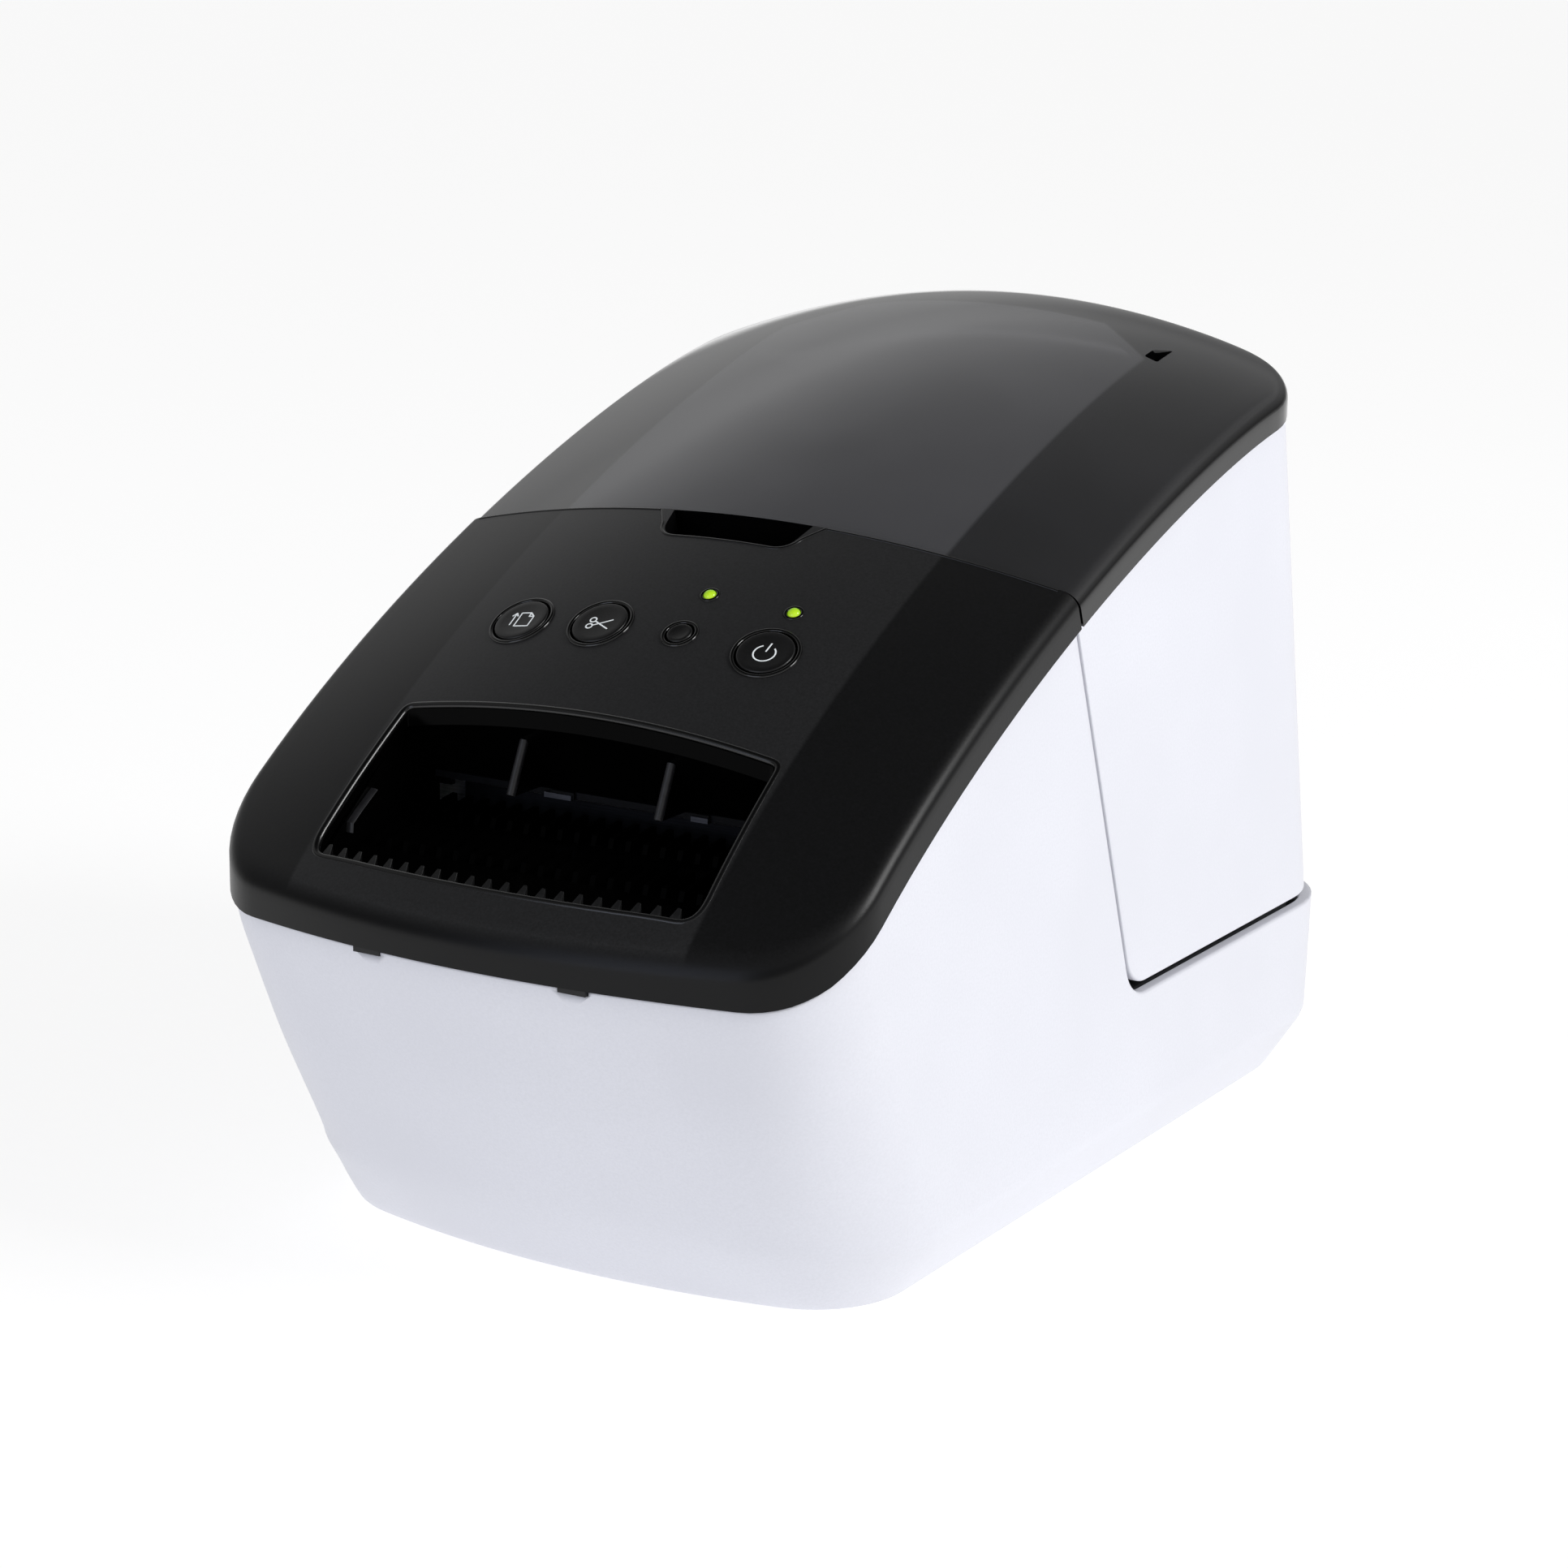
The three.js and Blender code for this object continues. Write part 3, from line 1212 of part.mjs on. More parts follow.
// The circuit boards on the bottom plate
const parts = {
  transformer: { x: -24, y: 36, half: 11, height: 19 },
  capacitor: { x: -15, y: 62, radius: 7, height: 20 },
  chip: { x: 22, y: 44, half: 8, height: 1.8 },
  memory: { x: 32, y: 60, half: 5, height: 1.4 },
  header: { x: 26, y: 28, half: 6, height: 6 },
};

function circuitBoard(side, fitted) {
  const plate = block(span(side, board.inner, board.outer), [board.front, board.rear],
    [board.under, board.under + board.thickness]);
  const base = board.under + board.thickness / 2;
  const pieces = fitted.map((part) => (part.radius
    ? rod('z', part.radius, base, board.under + part.height, [part.x, part.y])
    : block([part.x - part.half, part.x + part.half], [part.y - part.half, part.y + part.half],
      [base, board.under + board.thickness + part.height])));
  return union([plate, ...pieces]);
}

// Finishes
const finish = (color, roughness, metalness = 0, opacity = 1) => new THREE.MeshStandardMaterial({
  color, roughness, metalness, opacity, transparent: opacity < 1,
});
const materials = {
  white: finish(0xe9ebee, 0.45),
  black: finish(0x1b1b1c, 0.38),
  gloss: finish(0x0c0c0d, 0.15),
  smoked: finish(0x2a2a2d, 0.12, 0, 0.55),
  rubber: finish(0x1c1c1c, 0.9),
  dark: finish(0x2f3033, 0.6),
  steel: finish(0xa8abb0, 0.35, 1),
  aluminium: finish(0xc2c5c9, 0.4, 1),
  ceramic: finish(0xd9d4c8, 0.4),
  nylon: finish(0xe2ddcf, 0.55),
  board: finish(0x1f5a38, 0.55),
  lamp: finish(0xb6e335, 0.3),
  paper: finish(0xf2f1ec, 0.85),
};

// Assembly
const printer = new THREE.Group();
printer.position.z = foot.proud;

function add(name, body, material) {
  const mesh = new THREE.Mesh(geometryOf(body), material);
  mesh.name = name;
  printer.add(mesh);
}

add('base_housing', baseHousing(), materials.white);
add('bottom_plate', bottomPlate(), materials.white);
for (const [name, place] of Object.entries(footPlaces)) add(`foot_${name}`, footAt(place), materials.rubber);
for (const [name, place] of Object.entries(screwPlaces)) add(`screw_${name}`, screwAt(place), materials.steel);
add('mains_inlet', mainsInlet(), materials.gloss);
add('data_port', dataPort(), materials.steel);
add('power_board', circuitBoard(-1, [parts.transformer, parts.capacitor]), materials.board);
add('main_board', circuitBoard(1, [parts.chip, parts.memory, parts.header]), materials.board);

add('roll_cradle', rollCradle(), materials.dark);
add('spool_arm_left', spoolArm(-1), materials.dark);
add('spool_arm_right', spoolArm(1), materials.dark);
add('roll_core', tube('x', roll.core, roll.coreBore, -roll.halfWidth, roll.halfWidth, rollAt), materials.nylon);
add('label_paper', tube('x', roll.radius, roll.core + fit.seat, -roll.halfWidth, roll.halfWidth, rollAt,
  steps.large), materials.paper);

add('mech_deck', mechDeck(), materials.dark);
add('side_frame_left', sideFrame(-1), materials.steel);
add('side_frame_right', sideFrame(1), materials.steel);
add('crossbar', crossBar(), materials.steel);
add('platen_roller', tube('x', platen.radius, platen.shaft + fit.seat, -platen.half, platen.half, platenAt),
  materials.rubber);
add('platen_shaft', platenShaft(), materials.steel);
add('platen_bush_left', platenBush(-1), materials.nylon);
add('platen_bush_right', platenBush(1), materials.nylon);
add('platen_gear', platenGear(), materials.nylon);
add('idler_gear', idlerGear(), materials.nylon);
add('motor_pinion', motorPinion(), materials.steel);
add('feed_motor', feedMotor(), materials.steel);
add('print_head', printHead(), materials.ceramic);
add('head_heatsink', headHeatsink(), materials.aluminium);
add('head_bracket', headBracket(), materials.steel);
add('head_pivot_shaft', rod('x', head.pivotRadius, -frameOuter, frameOuter, pivotAt), materials.steel);
add('head_spring_left', headSpring(-1), materials.steel);
add('head_spring_right', headSpring(1), materials.steel);

add('cutter_frame', cutterFrame(), materials.steel);
add('fixed_blade', fixedBladePiece(), materials.steel);
add('moving_blade', movingBladePiece(), materials.steel);
add('cutter_gear', cutterGear(), materials.nylon);
add('cutter_motor', cutterMotor(), materials.steel);
add('cutter_guard', cutterGuard(), materials.steel);

add('outlet_chute', outletChute(), materials.gloss);
add('outlet_floor', outletFloor(), materials.gloss);
add('front_panel', frontPanel(), materials.black);
add('panel_board', controlBoard(), materials.board);
for (const [name, x] of Object.entries(buttonXs)) {
  add(name, buttonPiece(x, name === 'mode_button' ? button.smallRadius : button.radius), materials.black);
}
for (const [name, x] of Object.entries(lensXs)) add(name, lensPiece(x), materials.lamp);

add('lid_cover', lidCover(), materials.smoked);
add('lid_inner_frame', lidInnerFrame(), materials.black);
add('lid_shell', lidShell(), materials.white);
add('hinge_pin_left', hingePin(-1), materials.steel);
add('hinge_pin_right', hingePin(1), materials.steel);

export default printer;
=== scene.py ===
# %% [markdown]
# A desktop label printer is dressed here for its portrait. This lesson lays smooth shells over the parts
# that show, gives the rest their finishes, and then sets up the camera and the light.

import json
import math

import bmesh
import bpy
import numpy as np
from mathutils import Matrix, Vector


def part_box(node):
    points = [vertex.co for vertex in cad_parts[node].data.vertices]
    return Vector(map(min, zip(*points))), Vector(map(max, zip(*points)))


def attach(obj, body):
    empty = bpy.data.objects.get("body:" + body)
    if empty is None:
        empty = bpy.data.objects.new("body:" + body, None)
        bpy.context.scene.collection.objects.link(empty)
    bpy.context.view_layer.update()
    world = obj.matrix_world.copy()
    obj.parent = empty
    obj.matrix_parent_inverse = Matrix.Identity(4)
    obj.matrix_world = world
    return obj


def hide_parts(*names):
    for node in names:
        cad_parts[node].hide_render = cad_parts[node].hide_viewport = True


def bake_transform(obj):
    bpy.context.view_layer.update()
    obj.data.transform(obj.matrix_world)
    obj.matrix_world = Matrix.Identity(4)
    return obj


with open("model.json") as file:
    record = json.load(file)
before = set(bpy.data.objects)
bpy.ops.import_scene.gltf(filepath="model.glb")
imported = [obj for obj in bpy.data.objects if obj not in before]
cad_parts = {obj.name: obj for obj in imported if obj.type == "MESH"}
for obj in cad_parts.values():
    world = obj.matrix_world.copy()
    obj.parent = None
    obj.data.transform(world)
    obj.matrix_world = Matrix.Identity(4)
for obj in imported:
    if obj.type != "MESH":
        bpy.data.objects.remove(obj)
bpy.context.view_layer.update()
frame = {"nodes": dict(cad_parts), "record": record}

# %% [markdown]
# The picture is taken from the printer's front right, a little above it, through a long lens. A camera is
# placed by three directions: where it looks, what is right and what is up. They come from matching the
# corners of the real printer with the picture, and the small shift puts the printer where it stands in the
# frame.

# %% The camera
MM = 0.001
CAMERA_PLACE = (346.957, -576.137, 237.872)
CAMERA_RIGHT = (0.85495, 0.51855, 0.01273)
CAMERA_UP = (-0.13546, 0.19951, 0.97049)
CAMERA_FORWARD = (-0.50071, 0.83144, -0.24082)
FOCAL_LENGTH = 85.93
SENSOR_WIDTH = 36.0
CAMERA_SHIFT = (-0.0207, -0.0065)

scene = bpy.context.scene
camera = bpy.data.objects.new("camera", bpy.data.cameras.new("camera"))
scene.collection.objects.link(camera)
turn = np.eye(4)
turn[:3, 0] = CAMERA_RIGHT
turn[:3, 1] = CAMERA_UP
turn[:3, 2] = -np.array(CAMERA_FORWARD)
turn[:3, 3] = np.array(CAMERA_PLACE) * MM
camera.matrix_world = Matrix(turn.tolist())
camera.data.lens = FOCAL_LENGTH
camera.data.sensor_width = SENSOR_WIDTH
camera.data.shift_x, camera.data.shift_y = CAMERA_SHIFT
camera.data.clip_end = 20
scene.camera = camera
print("camera stands", round(float(np.linalg.norm(CAMERA_PLACE)), 1), "mm from the printer's middle")

# %% [markdown]
# Every part shares one shape: the top. Seen from the side it is a single curve that climbs from the front
# lip and turns over at the rear, and from left to right it is gently crowned. Working that out once, as a
# height over the plan, lets the panel, the lid, the frame under it and the outlet fit each other exactly.

# %% The top as a height over the plan
DEPTH, HEIGHT, HALF_WIDTH = 221.0, 153.0, 63.75
FEET = 1.0
CREST_POINTS = np.array([(-0.4498, 0.498), (-0.1907, 0.8379), (0.3388, 1.0604), (0.3531, 0.9852)]) * (
    DEPTH, HEIGHT
)
FRONT_CROWN, REAR_CROWN = 232.0, 162.0
CAP = dict(
    skirt=6.4, edge=2.6, front=99.4, bow=10.96, corner=20.0, rear=78.0, rear_bow=-1.5, rear_corner=19.5
)
CAP_RIDGE, REAR_FALL, LIP_DROP, LIP_ZONE, TAPER = 70.0, 0.5, 0.97, 15.0, 0.0147

_t = np.linspace(0, 1, 4001)[:, None]
_weights = np.hstack([(1 - _t) ** 3, 3 * _t * (1 - _t) ** 2, 3 * _t**2 * (1 - _t), _t**3])
_curve = _weights @ CREST_POINTS
_rates = np.gradient(_curve, axis=0)
_slopes = _rates[:, 1] / _rates[:, 0]


def crest(y):
    """Height and slope of the top's middle line: a cubic Bezier curve, carried on straight past both ends."""
    y = np.asarray(y, float)
    first, last = _curve[0], _curve[-1]
    height = np.interp(y, _curve[:, 0], _curve[:, 1])
    height = np.where(y < first[0], first[1] + _slopes[0] * (y - first[0]), height)
    height = np.where(y > last[0], last[1] + _slopes[-1] * (y - last[0]), height)
    return height, np.interp(y, _curve[:, 0], _slopes)


def crown(y):
    """Curvature from side to side: it goes evenly from one over the front radius to one over the rear one."""
    share = (np.asarray(y, float) + CAP["front"] + CAP["bow"]) / (CAP["rear"] + CAP["front"] + CAP["bow"])
    return (1 - share) / FRONT_CROWN + share / REAR_CROWN


def top_z(x, y, depth=0.0):
    """Height of a layer under the top: the crest less half the crown times x squared, less the depth as
    measured on the slope."""
    steep = np.hypot(1, crest(np.minimum(y, CAP_RIDGE))[1])
    blend = np.clip((np.asarray(y, float) + CAP["front"] + CAP["bow"]) / LIP_ZONE, 0, 1)
    drop = LIP_DROP + (steep - LIP_DROP) * blend
    return crest(y)[0] - x * x * crown(y) / 2 - depth * drop


def border_z(x, y, depth):
    """Height of the cap's lower border: the top's layer as far as the ridge, then an even fall behind it."""
    return top_z(x, np.minimum(y, CAP_RIDGE), depth) - np.maximum(y - CAP_RIDGE, 0) * REAR_FALL


def top_normal(x, y):
    """Direction that stands square on the top: (crown times x, minus slope, 1), brought to length one."""
    x, y = np.broadcast_arrays(np.asarray(x, float), np.asarray(y, float))
    normal = np.stack([x * crown(y), -crest(y)[1], np.ones_like(x)], -1)
    return normal / np.linalg.norm(normal, axis=-1, keepdims=True)


print(
    "top: front lip at",
    round(float(top_z(0.0, -110.4)), 1),
    "mm, highest at",
    round(float(_curve[:, 1].max()), 1),
    "mm",
)

# %% [markdown]
# A mesh is points and faces. Each surface below is a grid of points, so its faces follow from its two
# counts, and a whole grid of faces is one sum on arrays. Several grids make one piece. Doubled points at
# seams and poles are merged, and then all faces are turned outwards.

# %% From grids of points to a piece


def quads(rows, columns, start=0, round_rows=False, round_columns=False):
    """Faces of a grid: each joins points (i, j), (i + 1, j), (i + 1, j + 1) and (i, j + 1); a round way
    joins its end to its start."""
    i = np.arange(rows if round_rows else rows - 1)[:, None]
    j = np.arange(columns if round_columns else columns - 1)[None, :]
    i2, j2 = (i + 1) % rows, (j + 1) % columns
    faces = np.stack(
        np.broadcast_arrays(i * columns + j, i2 * columns + j, i2 * columns + j2, i * columns + j2), -1
    )
    return faces.reshape(-1, 4) + start


def mesh_of(name, grids, crease=38.0):
    """One mesh from grids given as (points in mm, round rows, round columns), merged, turned outwards and
    lifted by the feet."""
    points, faces, start = [], [], 0
    for grid, round_rows, round_columns in grids:
        rows, columns = grid.shape[:2]
        faces.append(quads(rows, columns, start, round_rows, round_columns))
        points.append(grid.reshape(-1, 3))
        start += rows * columns
    points = (np.concatenate(points) + (0, 0, FEET)) * MM
    faces = np.concatenate(faces).astype(np.int32)
    mesh = bpy.data.meshes.new(name)
    mesh.vertices.add(len(points))
    mesh.vertices.foreach_set("co", points.astype(np.float32).ravel())
    mesh.loops.add(faces.size)
    mesh.loops.foreach_set("vertex_index", faces.ravel())
    mesh.polygons.add(len(faces))
    mesh.polygons.foreach_set("loop_start", np.arange(0, faces.size, 4, dtype=np.int32))
    mesh.update(calc_edges=True)
    tidy = bmesh.new()
    tidy.from_mesh(mesh)
    bmesh.ops.remove_doubles(tidy, verts=tidy.verts, dist=0.004 * MM)
    bmesh.ops.dissolve_degenerate(tidy, edges=tidy.edges, dist=0.002 * MM)
    bmesh.ops.recalc_face_normals(tidy, faces=tidy.faces)
    tidy.to_mesh(mesh)
    tidy.free()
    smooth(mesh, crease)
    return mesh


def smooth(mesh, crease=38.0):
    """Shades a mesh smooth, and keeps every edge sharp that bends by more than the crease in degrees."""
    mesh.shade_smooth()
    mesh.set_sharp_from_angle(angle=math.radians(crease))


def piece(name, grids, crease=38.0):
    """An object at the origin that holds one mesh made of grids."""
    thing = bpy.data.objects.new(name, mesh_of(name, grids, crease))
    scene.collection.objects.link(thing)
    return thing


def cut(thing, tool, how="DIFFERENCE"):
    """Cuts one closed piece with another, joins it or keeps what they share, and does away with the tool."""
    knife = thing.modifiers.new("cut", "BOOLEAN")
    knife.operation, knife.solver, knife.object = how, "EXACT", tool
    result = bpy.data.meshes.new_from_object(thing.evaluated_get(bpy.context.evaluated_depsgraph_get()))
    thing.modifiers.clear()
    old, thing.data = thing.data, result
    result.name = thing.name
    bpy.data.meshes.remove(old)
    bpy.data.objects.remove(tool)
    return thing


print("a grid of 4 by 3 points has", len(quads(4, 3)), "faces")

# %% [markdown]
# The case and the cap are both outlines seen from above, stacked up. The outline has a bowed front, two
# round front corners, straight sides, round rear corners and a bowed rear. Each corner arc starts where the
# bow has just the arc's own direction, so light runs round it without a break.

# %% The rounded outline
BOW_STEPS, ARC_STEPS, SIDE_STEPS = 18, 12, 32
SETTLING_ROUNDS = 8


def outline(half, front, bow, corner, rear, rear_bow, rear_corner, inset=0.0, sides=None):
    """The plan as a ring: y = -(front + bow (1 - (x / half)^2)) ahead, the same behind, arcs between.
    Values may be columns of numbers, one a height."""
    half, front, bow, corner, rear, rear_bow, rear_corner = np.broadcast_arrays(
        *[
            np.atleast_1d(np.asarray(v, float))
            for v in (half, front, bow, corner, rear, rear_bow, rear_corner)
        ]
    )
    half, front, rear = half - inset, front - inset, rear - inset
    corner, rear_corner = np.maximum(corner - inset, 1.0), np.maximum(rear_corner - inset, 1.0)

    def end(edge, arch, radius):
        angle = np.zeros_like(half + edge + arch + radius)
        for _ in range(SETTLING_ROUNDS):
            touch = half - radius + radius * np.sin(angle)
            angle = np.arctan(2 * arch * touch / half**2)
        touch = half - radius + radius * np.sin(angle)
        middle = edge + arch * (1 - (touch / half) ** 2) - radius * np.cos(angle)
        share = np.linspace(0, 1, BOW_STEPS, endpoint=False)[:, None]
        bow_x = touch * share
        bow_y = edge + arch * (1 - (bow_x / half) ** 2)
        turn = angle + (np.pi / 2 - angle) * np.linspace(0, 1, ARC_STEPS + 1)[:, None]
        arc_x = half - radius + radius * np.sin(turn)
        arc_y = middle + radius * np.cos(turn)
        return np.vstack([bow_x, arc_x]), np.vstack([bow_y, arc_y])

    front_x, front_y = end(front, bow, corner)
    rear_x, rear_y = end(rear, rear_bow, rear_corner)
    if sides is None:
        share = np.linspace(0, 1, SIDE_STEPS + 2)[1:-1, None]
        side_y = -front_y[-1:] + (rear_y[-1:] + front_y[-1:]) * share
    else:
        side_y = np.repeat(np.asarray(sides, float)[:, None], front_y.shape[1], 1)
    side_x = np.broadcast_to(half, side_y.shape)
    right_x = np.vstack([front_x, side_x, rear_x[::-1]])
    right_y = np.vstack([-front_y, side_y, rear_y[::-1]])
    return np.vstack([right_x, -right_x[-2:0:-1]]), np.vstack([right_y, right_y[-2:0:-1]])


def cap_outline(inset=0.0):
    """The cap's own plan, which widens a little towards the rear."""
    plan = {key: value for key, value in CAP.items() if key not in ("skirt", "edge")}
    x, y = outline(HALF_WIDTH, **plan, inset=inset)
    return (x * (1 + TAPER * y / DEPTH))[:, 0], y[:, 0]


def cover_rows(x, y, height, shares, spine):
    """Rings that close a plan: x times the share, y drawn towards the spine by the same share, z by the
    height."""
    kept = np.clip(y, *spine)
    rows_x = x[:, None] * shares[None, :]
    rows_y = kept[:, None] + (y - kept)[:, None] * shares[None, :]
    return np.stack([rows_x, rows_y, height(rows_x, rows_y)], -1)


def slab(plan, low, high, edge=((0.0, 0.0),), skirt_rows=4, steps=22, spine=(-84.0, 62.0)):
    """A closed body over a plan between two heights, its upper edge worked in steps of inset and drop."""
    shares = np.linspace(0, 1, steps + 1)
    x, y = plan(0.0)
    bottom = cover_rows(x, y, low, shares, spine)
    foot, rim = low(x, y), high(x, y) - edge[0][1]
    share = np.linspace(0, 1, skirt_rows + 1)[None, 1:]
    wall = np.stack(
        np.broadcast_arrays(x[:, None], y[:, None], foot[:, None] + (rim - foot)[:, None] * share), -1
    )
    turned = [np.stack([*plan(inset), high(*plan(inset)) - drop], -1)[:, None] for inset, drop in edge[1:]]
    last_x, last_y = plan(edge[-1][0])
    top = cover_rows(last_x, last_y, high, shares[::-1][1:], spine)
    return [(np.concatenate([bottom, wall, *turned, top], 1), True, False)]


quarter = np.linspace(0, np.pi / 2, 9)
CAP_EDGE = tuple(zip(CAP["edge"] * (1 - np.cos(quarter)), CAP["edge"] * (1 - np.sin(quarter))))
print(
    "cap outline:",
    len(cap_outline()[0]),
    "points, half width",
    round(float(cap_outline()[0].max()), 2),
    "mm",
)

# %% [markdown]
# Two more ways of making a closed body are enough for the rest: drawing a flat outline out along an axis,
# with its two rims rounded over, and turning a profile about an axis, as on a lathe. A body that only cuts
# has next to no rounding, the knife edge.

# %% Drawn bodies, turned bodies and beads
AXES = {"x": (1, 2, 0), "y": (0, 2, 1), "z": (0, 1, 2)}
KNIFE_EDGE = 0.02


def inset_ring(ring, inset):
    """A closed flat outline moved inwards: each point goes by the inset against the outward normal of its
    two neighbours."""
    along = np.roll(ring, -1, 0) - np.roll(ring, 1, 0)
    along /= np.linalg.norm(along, axis=1, keepdims=True)
    area = np.sum(ring[:, 0] * np.roll(ring[:, 1], -1) - np.roll(ring[:, 0], -1) * ring[:, 1])
    outwards = np.stack([along[:, 1], -along[:, 0]], 1) * np.sign(area)
    return ring - outwards * inset


def drawn(ring, axis, low, high, edge=0.3, edge_steps=3):
    """A flat outline carried along an axis from low to high: quarter rounds of the edge's radius at both
    rims, and closed to its middle."""
    ring = np.asarray(ring, float)
    turn = np.linspace(0, np.pi / 2, edge_steps + 1)
    insets = edge * (1 - np.sin(turn))
    lifts = edge * (1 - np.cos(turn))
    rings = [inset_ring(ring, i) for i in insets]
    stack = [(rings[0] * 0 + rings[0].mean(0), low)]
    stack += [(r, low + l) for r, l in zip(rings, lifts)]
    stack += [(r, high - l) for r, l in zip(rings[::-1], lifts[::-1])]
    stack += [(rings[0] * 0 + rings[0].mean(0), high)]
    grid = np.empty((len(ring), len(stack), 3))
    first, second, third = AXES[axis]
    for column, (flat, at) in enumerate(stack):
        grid[:, column, first], grid[:, column, second], grid[:, column, third] = flat[:, 0], flat[:, 1], at
    return grid, True, False


def turned(profile, place, axis, sides=48):
    """A profile of (radius, distance along) turned about an axis: place + distance axis + radius (cos a,
    sin a) in the plane square to it."""
    profile = np.asarray(profile, float)
    axis = np.asarray(axis, float) / np.linalg.norm(axis)
    helper = np.array([0.0, 1.0, 0.0]) if abs(axis[1]) < 0.9 else np.array([1.0, 0.0, 0.0])
    first = np.cross(helper, axis)
    first /= np.linalg.norm(first)
    second = np.cross(axis, first)
    angle = np.linspace(0, 2 * np.pi, sides, endpoint=False)[:, None, None]
    radius, along = profile[None, :, :1], profile[None, :, 1:]
    return np.asarray(place, float) + along * axis + radius * (
        np.cos(angle) * first + np.sin(angle) * second
    ), True, False


def turned_ring(profile, place, axis, sides=48):
    """A closed profile turned about an axis, as for a bead or a washer: its last point is joined to its
    first."""
    grid, _, _ = turned(profile, place, axis, sides)
    return grid, True, True


def box(x, y, z):
    """A block between two values on each axis, for cutting."""
    ring = np.array([(x[0], y[0]), (x[1], y[0]), (x[1], y[1]), (x[0], y[1])], float)
    grid = np.stack([np.column_stack([ring, np.full(4, z[0])]), np.column_stack([ring, np.full(4, z[1])])], 1)
    middle = np.array([(x[0] + x[1]) / 2, (y[0] + y[1]) / 2])
    caps = [np.column_stack([np.tile(middle, (4, 1)), np.full(4, level)])[:, None] for level in z]
    return np.concatenate([caps[0], grid, caps[1]], 1), True, False


def circle(middle, radius, sides=40):
    """Points of a circle in a plane."""
    angle = np.linspace(0, 2 * np.pi, sides, endpoint=False)
    return np.stack([middle[0] + radius * np.cos(angle), middle[1] + radius * np.sin(angle)], 1)


def rounded(corners, radii, steps=6):
    """A polygon with round corners: at each corner a quadratic curve from one cut to the other, through the
    corner's pull."""
    corners = np.asarray(corners, float)
    radii = np.broadcast_to(np.asarray(radii, float), len(corners))[:, None]
    before, after = np.roll(corners, 1, 0) - corners, np.roll(corners, -1, 0) - corners
    before_length = np.linalg.norm(before, axis=1, keepdims=True)
    after_length = np.linalg.norm(after, axis=1, keepdims=True)
    reach = np.minimum(radii, np.minimum(before_length, after_length) * 0.48)
    start, stop = corners + before / before_length * reach, corners + after / after_length * reach
    t = np.linspace(0, 1, steps + 1)[None, :, None]
    curve = (1 - t) ** 2 * start[:, None] + 2 * t * (1 - t) * corners[:, None] + t**2 * stop[:, None]
    return curve.reshape(-1, 2)


def bead(path, normals, radius, flat=1.0, closed=True, sides=8):
    """A round bead along a path: path + radius (cos a side + flat sin a normal), with the side square to
    the path and the normal."""
    path, normals = np.asarray(path, float), np.asarray(normals, float)
    if closed:
        along = np.roll(path, -1, 0) - np.roll(path, 1, 0)
    else:
        along = np.gradient(path, axis=0)
    along /= np.linalg.norm(along, axis=1, keepdims=True)
    side = np.cross(along, normals)
    side /= np.linalg.norm(side, axis=1, keepdims=True)
    angle = np.linspace(0, 2 * np.pi, sides, endpoint=False)[None, :, None]
    grid = path[:, None] + radius * (np.cos(angle) * side[:, None] + flat * np.sin(angle) * normals[:, None])
    if not closed:
        ends = [np.repeat(path[end][None, None], sides, 1) for end in (0, -1)]
        grid = np.concatenate([ends[0], grid, ends[1]], 0)
    return grid, closed, True


print("a drawn circle has", drawn(circle((0, 0), 1), "z", 0, 1)[0].shape[:2], "points")

# %% [markdown]
# A moulded case is a thin wall and not a block. Its cross section is one closed loop: up the outside, over
# a rounded lip, down the inside and round the lower lip. Carried along the outline, that loop is the whole
# case. The sides bend in below a line 12 mm up, and the front leans back in three steps that run smoothly
# into each other, so the sizes of the outline are read at every height from a softened table.

# %% The white case
CASE_KNOTS = np.array([-12.0, 0.0, 11.9, 34.9, 60.0, 190.0])
CASE_LEVELS = dict(
    half=(47.3, 55.0, 62.6, 62.5, 62.5, 62.5),
    front=(67.7, 74.6, 81.5, 90.4, 99.2, 99.2),
    bow=(8.7, 8.7, 9.3, 10.5, 10.96, 10.96),
    corner=(15.5, 15.5, 33.0, 25.0, 19.1, 19.1),
    rear=(89.5, 94.3, 99.1, 100.6, 100.6, 100.6),
    rear_bow=(9.2, 9.2, 9.6, 9.76, 9.76, 9.76),
    rear_corner=(18.6, 18.6, 24.0, 24.0, 24.0, 24.0),
)
CREASE_REACH = dict(half=1.6, rear=2.5, rear_bow=2.5, rear_corner=2.5)
CASE_WALL, LID_WALL, COVER_WALL = 2.4, 2.2, 2.0
SEAM = dict(y=-21.6, z=118.0, lean=0.36, bow=2.8, side_z=37.3, corner=8.5)
SKIRT_GAP, SEAM_GAP, SHELF_GAP = 0.3, 0.8, 2.1


def softened(z, values, reach):
    """A broken line over the height, averaged over the reach above and below each place, which rounds its
    corners."""
    fine = np.linspace(CASE_KNOTS[0], CASE_KNOTS[-1], 6001)
    total = np.concatenate(
        [[0], np.cumsum(np.interp((fine[1:] + fine[:-1]) / 2, CASE_KNOTS, values) * np.diff(fine))]
    )
    return (np.interp(z + reach, fine, total) - np.interp(z - reach, fine, total)) / (2 * reach)


def ring_table(levels, heights, inset, sides):
    """The outline at each of many heights, as two arrays with a row for each point and a column for each
    height."""
    x, y = outline(**levels, inset=inset, sides=sides)
    return np.broadcast_to(x, (x.shape[0], len(heights))), np.broadcast_to(y, (y.shape[0], len(heights)))


